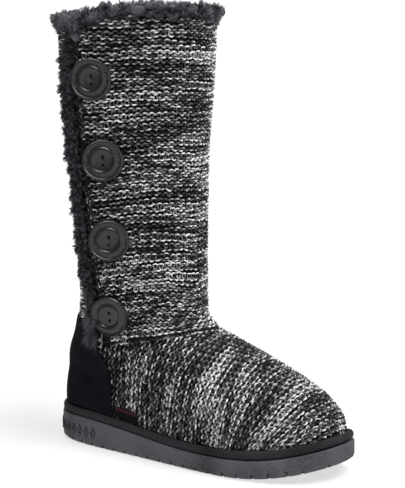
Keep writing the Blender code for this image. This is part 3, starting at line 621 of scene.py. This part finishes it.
def even_steps(points, step, count):
    """Points at even steps along a line from its start, or over all of it, and its length."""
    lengths = line_lengths(points)
    if step is None:
        places = np.linspace(0, lengths[-1], count)
    else:
        places = np.arange(count) * step
    return np.stack([np.interp(places, lengths, points[:, i]) for i in range(3)], -1), lengths[-1]


def line_lengths(points):
    """How far along a line each of its points lies."""
    return np.concatenate([[0], np.cumsum(np.linalg.norm(np.diff(points, axis=0), axis=1))])


def knit_foot():
    whole_rows, outer_rows, inner_rows, lengths = [], [], [], []
    for middle, way in foot_planes():
        points = foot_section(middle, way)
        points = points[points[:, 2] > middle[2] + RAND_HIDES]
        if middle[0] + FOOT_HEIGHT * way[0] < HEM_FRONT - 0.001:
            below_hem = points[:, 2] < hem_above(points[:, 0]) - 0.0002
            centre = points[:, 1].mean()
            for rows, chosen in (
                (outer_rows, below_hem & (points[:, 1] < centre)),
                (inner_rows, below_hem & (points[:, 1] > centre)),
            ):
                side = points[chosen]
                side = side[np.argsort(side[:, 2])]
                # The line goes on past its end, so that the grid has no edge there.
                tail = side[-1] + (side[-1] - side[-4]) * np.arange(1, 30)[:, None]
                rows.append(even_steps(np.concatenate([side, tail]), SIDE_STEP, SIDE_COLUMNS)[0])
        else:
            row, length = even_steps(points, None, FOOT_COLUMNS)
            if length < SHORTEST_COURSE:
                break
            whole_rows.append(row)
            lengths.append(length)
    gathered = Gathered()
    whole = np.array(whole_rows)
    whole = np.concatenate([whole[:1] * 2 - whole[1:2], whole, whole[-1:] * 2 - whole[-2:-1]])
    normals = grid_normals(whole)
    for course, length in enumerate(lengths):
        stitches = length / FOOT_STITCH_WIDTH
        # Painted light: the courses over the instep and the toe are painted a little lighter.
        yarn_course(gathered, whole, normals, course + 1.0, stitches, 21.0, everywhere, tone=0.02)

    def below(centres):
        return centres[:, 2] < hem_above(centres[:, 0]) + 0.0006

    for seed, rows, flip in ((33.0, outer_rows, -1), (47.0, inner_rows, 1)):
        # The first full course's points along this side let the sides join it.
        full = whole[1] if flip < 0 else whole[1][::-1]
        grid = np.array(rows + [even_steps(full, SIDE_STEP, SIDE_COLUMNS)[0]])
        normals = -grid_normals(grid) * flip
        for course in range(len(rows)):
            # Painted shade: the courses on the foot's sides are painted a little darker.
            yarn_course(gathered, grid, normals, course + 0.0, SIDE_STITCHES, seed, below, tone=-0.03)
    return [gathered.build("foot_knit", yarn)]


def faces_out(place, normal):
    """Whether a place on the upper faces away from the inside of the leg or the foot."""
    if place.z > 0.100:
        away = place - Vector(leg_centre(place.z))
    else:
        away = place - Vector((min(max(place.x, 0.0), 0.17), 0.002, 0.035))
    return normal.dot(away.normalized()) > -0.05


def upper_wall():
    """The wall behind the yarn, painted near-black as the shade in the gaps between the stitches, with
    its lining on the inside.
    """
    mesh = frame["nodes"]["upper"].data.copy()
    mesh.materials.clear()
    mesh.materials.append(wool_painted_shade)
    mesh.materials.append(lining)
    with editing(mesh) as bm:
        bmesh.ops.remove_doubles(bm, verts=bm.verts, dist=1e-6)
        bm.normal_update()
        moves = [(v, v.normal.copy()) for v in bm.verts if faces_out(v.co, v.normal)]
        for face in bm.faces:
            face.material_index = 0 if faces_out(face.calc_center_median(), face.normal) else 1
        for vert, normal in moves:
            level = Vector((normal.x, normal.y, normal.z * 0.2))
            vert.co -= level * WALL_SINK
    mesh.shade_smooth()
    return place_piece("upper_wall", mesh)


def selvedge():
    """Rough chains of loops along the flap's front edge."""
    top = rim_exact(FLAP_ANGLE + 0.03)
    heights = np.linspace(EDGE_LOW, top - 0.001, 90)
    grid = np.zeros((len(EDGE_ROWS), len(heights), 3))
    for j, height in enumerate(heights):
        for i, offset in enumerate(EDGE_ROWS):
            grid[i, j] = leg_point(FLAP_ANGLE + max(offset, 0.0006) / EDGE_RADIUS, height)
            if offset < 0:
                # The first row lies inside the edge, so that the chain wraps round it.
                way = leg_direction(FLAP_ANGLE)
                grid[i, j] -= way * 0.0020 + np.array([0.0008, 0.0, 0.0])
    grid = fill_gaps(grid)
    normals = unit(grid - np.array([leg_centre(h) for h in heights])[None])
    gathered = Gathered()
    stitches = int(line_lengths(grid[2])[-1] / EDGE_STITCH)
    lifted = grid + normals * 0.0007

    def keep(centres):
        return centres[:, 2] < top

    for course in (1.0, 2.0):
        yarn_course(gathered, lifted, normals, course, stitches, 61.0, keep, rough=2.6, tone=-0.36)
    return gathered.build("flap_edge", yarn)


# Pile
def modified(name, mesh, *modifiers):
    """A mesh after some modifiers, each given by its kind and settings."""
    piece = place_piece(name, mesh)
    for number, (kind, settings) in enumerate(modifiers):
        modifier = piece.modifiers.new(f"step_{number}", kind)
        for key, value in settings.items():
            setattr(modifier, key, value)
    bpy.context.view_layer.update()
    depsgraph = bpy.context.evaluated_depsgraph_get()
    result = bpy.data.meshes.new_from_object(piece.evaluated_get(depsgraph))
    bpy.data.objects.remove(piece)
    result.name = name
    return result


@contextmanager
def editing(mesh):
    """A mesh opened for editing, and written back at the end."""
    bm = bmesh.new()
    bm.from_mesh(mesh)
    yield bm
    bm.to_mesh(mesh)
    bm.free()


def node_copy(node):
    mesh = frame["nodes"][node].data.copy()
    with editing(mesh) as bm:
        bmesh.ops.remove_doubles(bm, verts=bm.verts, dist=2e-5)
    return mesh


def dressed(name, mesh, material):
    mesh.materials.clear()
    mesh.materials.append(material)
    mesh.shade_smooth()
    return place_piece(name, mesh)


def triples(items, key, kind=float):
    """The three numbers that each of a mesh's items has under a key."""
    values = np.empty(len(items) * 3, kind)
    items.foreach_get(key, values)
    return values.reshape(-1, 3)


def scatter(mesh, count, rng):
    """Random points over a mesh, and its smooth normals there."""
    mesh.calc_loop_triangles()
    corners = triples(mesh.loop_triangles, "vertices", np.int32)
    verts = triples(mesh.vertices, "co")
    ways = triples(mesh.vertex_normals, "vector")
    sides = verts[corners[:, 1:]] - verts[corners[:, :1]]
    areas = np.linalg.norm(np.cross(sides[:, 0], sides[:, 1]), axis=1)
    pick = rng.choice(len(corners), count, p=areas / areas.sum())
    shares = rng.random((count, 2))
    over = shares.sum(axis=1) > 1
    shares[over] = 1 - shares[over]
    weights = np.column_stack([1 - shares.sum(axis=1), shares])[..., None]
    chosen = corners[pick]
    return (verts[chosen] * weights).sum(axis=1), unit((ways[chosen] * weights).sum(axis=1))


def hairs(gathered, roots, ways, tips, radii, low_shade, backlit_tip_shade, rng):
    """Tapered hairs from their roots over a bend to their tips."""
    count, sides = len(roots), HAIR_SIDES
    shares = np.array(HAIR_SHARES)
    lengths = np.linalg.norm(tips - roots, axis=1, keepdims=True)
    bends = roots + ways * lengths * 0.55
    path = (
        roots[:, None] * ((1 - shares) ** 2)[None, :, None]
        + bends[:, None] * (2 * shares * (1 - shares))[None, :, None]
        + tips[:, None] * (shares**2)[None, :, None]
    )
    along = unit(tips - roots)
    across = unit(np.cross(along, rng.normal(size=(count, 3))))
    other = np.cross(along, across)
    turns = (TURN * np.arange(sides) / sides)[None, :, None]
    rounds = across[:, None] * np.cos(turns) + other[:, None] * np.sin(turns)
    widths = radii[:, None] * np.array(HAIR_WIDTHS)[None]
    rings = path[:, :2, None] + rounds[:, None] * widths[:, :, None, None]
    verts = np.concatenate([rings.reshape(count, -1, 3), path[:, 2:]], axis=1)
    faces = [(0, 2, 1)]
    for side in range(sides):
        after = (side + 1) % sides
        faces += [(side, after, sides + after), (side, sides + after, sides + side)]
        faces.append((sides + side, sides + after, 2 * sides))
    size = 2 * sides + 1
    faces = (np.array(faces)[None] + (np.arange(count) * size)[:, None, None]).reshape(-1, 3)
    # Painted highlight: the tips are painted lighter than the roots, as backlit rims.
    levels = np.append(np.repeat(shares[:2], sides), 1.0)
    values = low_shade[:, None] * (1 - levels) + backlit_tip_shade[:, None] * levels
    gathered.add(verts.reshape(-1, 3), faces, values.ravel())


def curl_at(point):
    """Height of the pile's soft lumps at a place, from 0 in the creases to 1 on top."""
    return min(1.0, abs(noise.noise(Vector(point) / CURL_SIZE)) * 2.6)


def tufts(name, material, points, normals, rng, length, drift, per_tuft=10, lumps=1.0, painted_light=0.0):
    """Hairs gathered in soft tufts over a surface. The drift is where the tufts lean."""
    count = len(points)
    chosen = rng.choice(count, max(1, count // per_tuft), replace=False)
    tree = KDTree(len(chosen))
    for number, index in enumerate(chosen):
        tree.insert(Vector(points[index]), number)
    tree.balance()
    owner = np.array([tree.find(Vector(point))[1] for point in points])
    lean = unit(normals[chosen] + drift + rng.normal(size=(len(chosen), 3)) * TUFT_WILDNESS)
    reach = length * (0.65 + 0.55 * rng.random(len(chosen)))
    peaks = points[chosen] + lean * reach[:, None]
    tone = rng.random(len(chosen))
    roots = points - normals * PILE_SINK
    tips = peaks[owner] + rng.normal(size=(count, 3)) * TUFT_SPREAD * 0.45
    # A hair is no longer than its tuft: far roots get shorter ones.
    ways = tips - roots
    lengths = np.linalg.norm(ways, axis=1, keepdims=True)
    tips = roots + ways / lengths * np.minimum(lengths, length * 1.35)
    # Painted light and shade: hairs on the lumps' tops are painted lighter, those in the creases
    # darker, and the collar's paler, as lit from above.
    tops = (np.array([curl_at(point) for point in points]) - 0.5) * lumps
    low = 0.26 + painted_light + 0.12 * tone[owner] + 0.18 * tops
    # Painted highlight: the tips' shade is higher than the roots', as backlit rims.
    high = 0.50 + painted_light + 0.14 * tone[owner] + 0.30 * tops + 0.20 * rng.random(count)
    gathered = Gathered()
    radii = HAIR_RADIUS * (0.75 + 0.6 * rng.random(count))
    hairs(gathered, roots, normals, tips, radii, low, high, rng)
    return gathered.build(name, material)


def soft_body(node, name, height):
    """A node's solid, remeshed, smoothed and made lumpy, a little inside its surface."""
    mesh = modified(
        name,
        node_copy(node),
        ("REMESH", {"mode": "VOXEL", "voxel_size": PILE_VOXEL}),
        ("SMOOTH", {"factor": 0.5, "iterations": 10}),
    )
    ways = [Vector(normal.vector) for normal in mesh.vertex_normals]
    for vert, way in zip(mesh.vertices, ways):
        vert.co += way * (height * (curl_at(vert.co) - 0.5) - PILE_SINK)
    mesh.update()
    return mesh


def shade_mesh(mesh, values):
    shade = mesh.attributes.new("shade", "FLOAT", "POINT")
    shade.data.foreach_set("value", np.asarray(values).astype(np.float32))


def lift_roll(body):
    """Bares the knit's edge below the roll, closes the roll onto the wall and lowers its top."""
    walls = []
    for angle in rim_angles:
        point = leg_point(angle, rim_exact(angle) - 0.004)
        walls.append(np.linalg.norm(point[:2] - leg_centre_at(point[2])))
    walls = np.array(walls)
    found = ~np.isnan(walls)
    for vert in body.vertices:
        middle = leg_centre_at(vert.co.z)
        away = np.array(vert.co[:2]) - middle
        angle = math.atan2(-away[1], -away[0]) % TURN
        angle = angle if angle > rim_angles[0] else angle + TURN
        wall = np.interp(angle, rim_angles[found], walls[found])
        outside = smooth_step((np.linalg.norm(away) - wall + 0.001) / 0.003)
        above = vert.co.z - rim_smooth(angle) - ROLL_FROM
        near = max(0.0, 1 - abs(above) / ROLL_BLEND)
        vert.co.z += near * (ROLL_LIFT * outside - ROLL_DROP * (1 - outside))
        vert.co.z -= max(above, 0.0) * (1 - ROLL_SQUEEZE)
    body.update()


def make_fleece():
    rng = np.random.default_rng(11)
    # The last two numbers set the painted light and shade on the lumps, and the painted light that
    # makes the collar paler.
    for node, count, drift, height, lumps, painted_light in (
        ("collar_fleece", HAIRS_ON_COLLAR, (0.0, 0.0, 0.45), 0.0046, 1.5, 0.09),
        ("strip_fleece", HAIRS_ON_STRIP, (-0.45, 0.0, -0.65), 0.0012, 0.4, 0.0),
    ):
        body = soft_body(node, f"{node}_body", height)
        if node == "collar_fleece":
            lift_roll(body)
        tops = np.array([curl_at(v.co) for v in body.vertices])
        # Painted light and shade: the body is painted lighter on the lumps' tops and darker in the
        # creases, and the collar's paler, as lit from above.
        shade_mesh(body, 0.08 + painted_light + 0.27 * lumps * tops)
        points, normals = scatter(body, count, rng)
        finish_piece(dressed(f"{node}_body", body, fleece), "fleece", node)
        piece = tufts(
            f"{node}_hairs", fleece, points, normals, rng, HAIR_LENGTH, np.array(drift),
            lumps=lumps, painted_light=painted_light,
        )
        finish_piece(piece, "fleece")


def make_strip_end():
    """The long pile that hangs from the strip's lower end over the counter."""
    rng = np.random.default_rng(14)
    low = min(v.co.z for v in frame["nodes"]["strip_fleece"].data.vertices)
    points, normals = [], []
    while len(points) < HAIRS_ON_STRIP_END:
        height = low + 0.001 + 0.018 * rng.random()
        angle = SLIT_ANGLE + (rng.random() - 0.65) * 0.20
        point = leg_point(angle, height, strip_tree)
        if np.isnan(point[0]):
            continue
        points.append(point)
        normals.append(leg_direction(angle))
    drift = np.array([-0.12, -0.25, -1.5])
    piece = tufts(
        "strip_end", fleece, np.array(points), np.array(normals), rng, STRIP_END_LENGTH, drift,
        per_tuft=9, painted_light=-0.05,
    )
    finish_piece(piece, "fleece")


def make_lining():
    """The pile inside the leg, as far down as it is seen from above."""
    rng = np.random.default_rng(12)
    points, normals = [], []
    while len(points) < HAIRS_IN_LINING:
        angle = rng.random() * TURN
        top = rim_exact(max(angle, rim_angles[0])) - 0.003
        centre = leg_centre(LINING_LOW + (top - LINING_LOW) * rng.random())
        point = cast(upper_tree, centre, leg_direction(angle))
        if np.isnan(point[0]) or np.linalg.norm(point - centre) > 0.075:
            continue
        points.append(point)
        normals.append(-leg_direction(angle))
    drift = np.array([0.0, 0.0, 0.35])
    piece = tufts(
        "lining_pile", lining, np.array(points), np.array(normals), rng, LINING_LENGTH, drift)
    finish_piece(piece, "fleece")


# The sole and the trims
def subdivided(node, name, material):
    """A node's solid with its flat faces joined and its form smoothed."""
    mesh = node_copy(node)
    with editing(mesh) as bm:
        bmesh.ops.join_triangles(
            bm, faces=bm.faces, angle_face_threshold=JOIN_ANGLE, angle_shape_threshold=JOIN_ANGLE,
        )
    mesh = modified(name, mesh, ("SUBSURF", {"levels": 2, "render_levels": 2}))
    slots = {entry["node"]: entry["material_slot"] for entry in frame["record"]["subparts"]}
    return finish_piece(dressed(name, mesh, material), slots[node], node)


def cut_and_bevelled(name, mesh, cutter_mesh, width, limit):
    """A mesh with another one cut out of it, and its edges softened."""
    cutter = place_piece(f"{name}_cutter", cutter_mesh)
    mesh = modified(
        name, mesh,
        ("BOOLEAN", {"operation": "DIFFERENCE", "object": cutter, "solver": "EXACT"}),
        ("BEVEL", {
            "width": width, "segments": 2, "limit_method": "ANGLE", "angle_limit": math.radians(limit),
        }),
        ("WEIGHTED_NORMAL", {"weight": 60}),
    )
    bpy.data.objects.remove(cutter)
    return mesh


def notched_sole():
    """The outsole with the ends of its grooves opened to the side, and softer edges."""
    cutter_mesh = bpy.data.meshes.new("notches")
    with editing(cutter_mesh) as bm:
        for number in range(-2, 17):
            x = (number + 0.5) * NOTCH_PITCH
            low = cast(outsole_tree, (x + 0.0045, 0.004, -0.1), (0, 0, 1))[2]
            for side in (-1, 1):
                edge = cast(outsole_tree, (x, side * FAR, low + 0.006), (0, -side, 0))[1]
                if np.isnan(edge):
                    continue
                made = bmesh.ops.create_cube(bm, size=1.0)["verts"]
                bmesh.ops.scale(bm, vec=(NOTCH_WIDTH, NOTCH_LENGTH, 2 * NOTCH_HEIGHT), verts=made)
                bmesh.ops.translate(bm, vec=(x, edge, low), verts=made)
    mesh = node_copy("outsole")
    with editing(mesh) as bm:
        bmesh.ops.dissolve_limit(bm, angle_limit=math.radians(1.5), verts=bm.verts, edges=bm.edges)
    mesh = cut_and_bevelled("sole", mesh, cutter_mesh, 0.0007, 38)
    return finish_piece(dressed("sole", mesh, sole_rubber), "sole", "outsole")


def woven_tag():
    piece = subdivided("side_tag", "woven_tag", tag_weave)
    points = np.array([v.co for v in piece.data.vertices])
    slope, level = np.polyfit(points[:, 0], points[:, 2], 1)
    rise = points[:, 2] - slope * points[:, 0] - level
    shade_mesh(piece.data, (rise - rise.min()) / (rise.max() - rise.min()))


def make_lozenges():
    """Low raised lozenges round the heel's side."""
    middle_height = (LOZENGE_LOW + LOZENGE_HIGH) / 2
    ring = []
    for angle in np.linspace(-1, 1, 721) * math.pi:
        way = np.array([math.cos(angle), math.sin(angle), 0])
        ring.append(cast(outsole_tree, np.array([*HEEL_MIDDLE, middle_height]) + 0.2 * way, -way))
    ring = np.array(ring)
    # The line runs from the outer side over the back to the inner side.
    start = np.argmin(np.where(ring[:, 1] > 0, 9, np.abs(ring[:, 0] - LOZENGE_END)))
    end = np.argmin(np.where(ring[:, 1] < 0, 9, np.abs(ring[:, 0] - LOZENGE_END)))
    heel = np.concatenate([ring[start::-1], ring[:end - 1:-1]])
    lengths = line_lengths(heel)
    whole = lengths[-1]

    def heel_point(place):
        place = np.clip(place, 0, whole)
        return np.array([np.interp(place, lengths, heel[:, i]) for i in (0, 1)])

    def surface(place, height, proud):
        """A point this far along the heel and above the lozenges' middle, proud of the sole."""
        place = np.clip(place, 0, whole)
        flat = heel_point(place)
        along = heel_point(place + 0.001) - heel_point(place - 0.001)
        out = np.array([along[1], -along[0]])
        out /= np.linalg.norm(out)
        if np.dot(out, flat - np.array(HEEL_MIDDLE)) < 0:
            out = -out
        start = (*(flat + out * 0.05), middle_height + height)
        return cast(outsole_tree, start, (-out[0], -out[1], 0)) + np.append(out, 0) * proud

    wide = LOZENGE_WIDTH * 0.46
    tall = (LOZENGE_HIGH - LOZENGE_LOW) / 2
    corners = ((-wide, 0), (0, -tall), (wide, 0), (0, tall))
    faces = []
    for low in (0, 4, 8):
        for side in range(4):
            after = (side + 1) % 4
            faces.append((low + side, low + after, low + 4 + after, low + 4 + side))
    faces.append((12, 13, 14, 15))
    gathered = Gathered()
    count = int(whole / LOZENGE_WIDTH)
    for number in range(count):
        centre = (number + 0.5) * whole / count
        verts = np.array([
            surface(centre + a * size, b * size, proud)
            for size, proud in LOZENGE_LEVELS for a, b in corners
        ])
        if not np.isnan(verts).any():
            gathered.add(verts, faces, np.zeros(len(verts)))
    piece = gathered.build("heel_lozenges", sole_rubber, smooth=False)
    piece.data.materials.append(lozenge_painted_shade)
    # The slopes of the raised frames are painted dark, as painted shade of the relief.
    shaded_slopes = [1] * 4 + [0] * 4 + [1] * 4 + [0]
    for polygon in piece.data.polygons:
        polygon.material_index = shaded_slopes[polygon.index % len(shaded_slopes)]
    return piece


def turned_button(name, number):
    """A finely turned two-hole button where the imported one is."""
    node = frame["nodes"][f"button_{number}"]
    verts = np.array([v.co for v in node.data.vertices])
    middle = verts.mean(axis=0)
    _, axes = np.linalg.eigh(np.cov((verts - middle).T))
    outward = axes[:, 0]
    if np.dot(outward, middle - leg_centre(middle[2])) < 0:
        outward = -outward
    base = middle + outward * ((verts - middle) @ outward).min()
    up = np.array([0.0, 0.0, 1.0])
    up = unit(up - outward * np.dot(up, outward))
    side = np.cross(up, outward)
    turns = [TURN * k / BUTTON_TURNS for k in range(BUTTON_TURNS)]
    mesh = bpy.data.meshes.new(name)
    with editing(mesh) as bm:
        rings = [
            [bm.verts.new((radius * math.cos(turn), radius * math.sin(turn), height)) for turn in turns]
            for radius, height in BUTTON_PROFILE
        ]
        for low, high in zip(rings, rings[1:]):
            for k in range(BUTTON_TURNS):
                after = (k + 1) % BUTTON_TURNS
                bm.faces.new((low[k], low[after], high[after], high[k]))
        bm.faces.new(rings[0][::-1])
        bm.faces.new(rings[-1])
    holes = bpy.data.meshes.new(f"{name}_holes")
    with editing(holes) as bm:
        for sign in (-1, 1):
            made = bmesh.ops.create_cone(
                bm, cap_ends=True, segments=28, radius1=BUTTON_HOLE, radius2=BUTTON_HOLE, depth=0.02,
            )
            bmesh.ops.translate(bm, vec=(0, sign * BUTTON_HOLE_PLACE, 0), verts=made["verts"])
    mesh = cut_and_bevelled(name, mesh, holes, 0.00018, 55)
    # The button's own +Y points up the leg.
    turn = Matrix((side, up, outward)).transposed().to_4x4()
    mesh.transform(Matrix.Translation(Vector(base)) @ turn)
    return finish_piece(dressed(name, mesh, button_plastic), "button", f"button_{number}")


# The scene round the boot
def add_camera():
    data = bpy.data.cameras.new("camera")
    camera = bpy.data.objects.new("camera", data)
    bpy.context.scene.collection.objects.link(camera)
    back = Vector((
        math.sin(CAMERA_AZIMUTH) * math.cos(CAMERA_ELEVATION),
        -math.cos(CAMERA_AZIMUTH) * math.cos(CAMERA_ELEVATION),
        math.sin(CAMERA_ELEVATION),
    ))
    camera.location = CAMERA_PLACE
    camera.rotation_mode = "QUATERNION"
    camera.rotation_quaternion = (-back).to_track_quat("-Z", "Y")
    data.sensor_width = SENSOR
    data.lens = FOCAL_PIXELS * SENSOR / FRAME_HEIGHT
    data.shift_x = (BOOT_CENTRE_PIXEL - FRAME_WIDTH / 2) / FRAME_HEIGHT
    bpy.context.scene.camera = camera


def add_surroundings():
    scene = bpy.context.scene
    scene.view_settings.view_transform = "Standard"
    world = bpy.data.worlds.new("studio")
    scene.world = world
    world.use_nodes = True
    tree = world.node_tree
    background = tree.nodes["Background"]
    background.inputs["Color"].default_value = (1, 1, 1, 1)
    # The backdrop is white, and the light that it sends on the boot is softer.
    path = tree.nodes.new("ShaderNodeLightPath")
    strength = add_node(tree, "ShaderNodeMapRange", To_Min=ROOM_LIGHT, To_Max=BACKDROP)
    tree.links.new(path.outputs["Is Camera Ray"], strength.inputs["Value"])
    tree.links.new(strength.outputs["Result"], background.inputs["Strength"])
    mesh = bpy.data.meshes.new("floor")
    with editing(mesh) as bm:
        bmesh.ops.create_grid(bm, x_segments=1, y_segments=1, size=6)
    mesh.materials.append(floor_material())
    floor = place_piece("floor", mesh)
    floor.location.z = -FLOOR_DROP
    for name, energy, source in LIGHTS:
        data = bpy.data.lights.new(name, "SUN")
        data.energy = energy
        data.angle = LIGHT_ANGLE
        light = bpy.data.objects.new(name, data)
        light.rotation_mode = "QUATERNION"
        light.rotation_quaternion = Vector(source).to_track_quat("Z", "Y")
        scene.collection.objects.link(light)


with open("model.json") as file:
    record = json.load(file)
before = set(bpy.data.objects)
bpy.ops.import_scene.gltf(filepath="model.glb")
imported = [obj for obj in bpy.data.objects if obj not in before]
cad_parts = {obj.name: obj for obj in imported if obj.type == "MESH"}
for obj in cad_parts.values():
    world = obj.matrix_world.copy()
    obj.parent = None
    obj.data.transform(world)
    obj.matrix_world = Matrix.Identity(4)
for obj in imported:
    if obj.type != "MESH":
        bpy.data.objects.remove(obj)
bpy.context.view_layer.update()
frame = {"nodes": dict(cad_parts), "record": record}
upper_tree = solid_tree("upper")
outsole_tree = solid_tree("outsole")
strip_tree = solid_tree("strip_fleece")
leg_middles = measure_leg()
rim_angles = np.radians(np.arange(90, 441, 1.5))
rim_heights = np.array([rim_height(a) for a in rim_angles])
first_plain = rim_heights[rim_angles >= FLAP_CORNER_END][0]
plain_rims = np.where(rim_angles < FLAP_CORNER_END, first_plain, rim_heights)


def rim_exact(angle):
    return float(np.interp(angle, rim_angles, rim_heights))


def rim_smooth(angle):
    """The upper edge without the flap's rounded corner."""
    return float(np.interp(angle, rim_angles, plain_rims))


yarn = textured(
    "marled_yarn", None, (0.30, 900, 2.0, 0.6),
    ((0.36, 0.013), (0.52, 0.050), (0.65, 0.17), (0.76, 0.46), (0.88, 0.86)),
    (1500,), 0.6, 0.0004, 0.95, 0.15)
# The wall behind the yarn is dark wool painted near-black, as painted shade in the gaps between the
# stitches.
wool_painted_shade = textured(
    "wool_painted_shade", (500,), None, ((0.3, 0.006), (0.7, 0.022)), (700,), 0.8, 0.001, 1.0, 0.05)
lining = fleece_material("lining", 0.008, 0.022, 0.06)
fleece = fleece_material(
    "fleece", (0.006, 0.006, 0.008), (0.038, 0.038, 0.045), (0.190, 0.190, 0.210))
suede = suede_material()
rand_rubber = rubber_material(
    "rand_band", (0.009, 0.009, 0.010), (0.032, 0.032, 0.037), 1100, 0.0005, 0.8, 0.12)
sole_rubber = rubber_material(
    "sole_foam", (0.036, 0.036, 0.040), (0.116, 0.116, 0.128), 1100, 0.0006, 0.75, 0.12)
# Painted shade for the slopes of the heel's raised lozenges.
lozenge_painted_shade = rubber_material(
    "sole_slope_painted_shade", (0.014, 0.014, 0.016), (0.034, 0.034, 0.038), 1100, 0.0004, 0.8, 0.08)
# The tag's upper border is maroon.
tag_weave = textured(
    "tag_weave", None, (0.12, 2500, 2.0, 0.6),
    ((0.60, (0.0060, 0.0055, 0.0065)), (0.70, (0.0120, 0.0060, 0.0070)), (0.78, (0.042, 0.015, 0.018))),
    (2500, 2.0, 0.6), 1.0, 0.0002, 0.9, 0.05)
button_plastic = rubber_material(
    "button_plastic", (0.0070, 0.0068, 0.0088), (0.0130, 0.0125, 0.0160), 1500, 0.00002, 0.24, 0.50)
finish_piece(upper_wall(), "knit", "upper")
for piece in [*knit_leg(), *knit_foot(), selvedge()]:
    finish_piece(piece, "knit")
make_fleece()
make_strip_end()
make_lining()
notched_sole()
finish_piece(make_lozenges(), "sole")
subdivided("rand", "sole_rand", rand_rubber)
subdivided("heel_counter", "suede_patch", suede)
woven_tag()
subdivided("insole", "footbed", lining)
for number in range(1, 5):
    turned_button(f"turned_button_{number}", number)
add_camera()
add_surroundings()
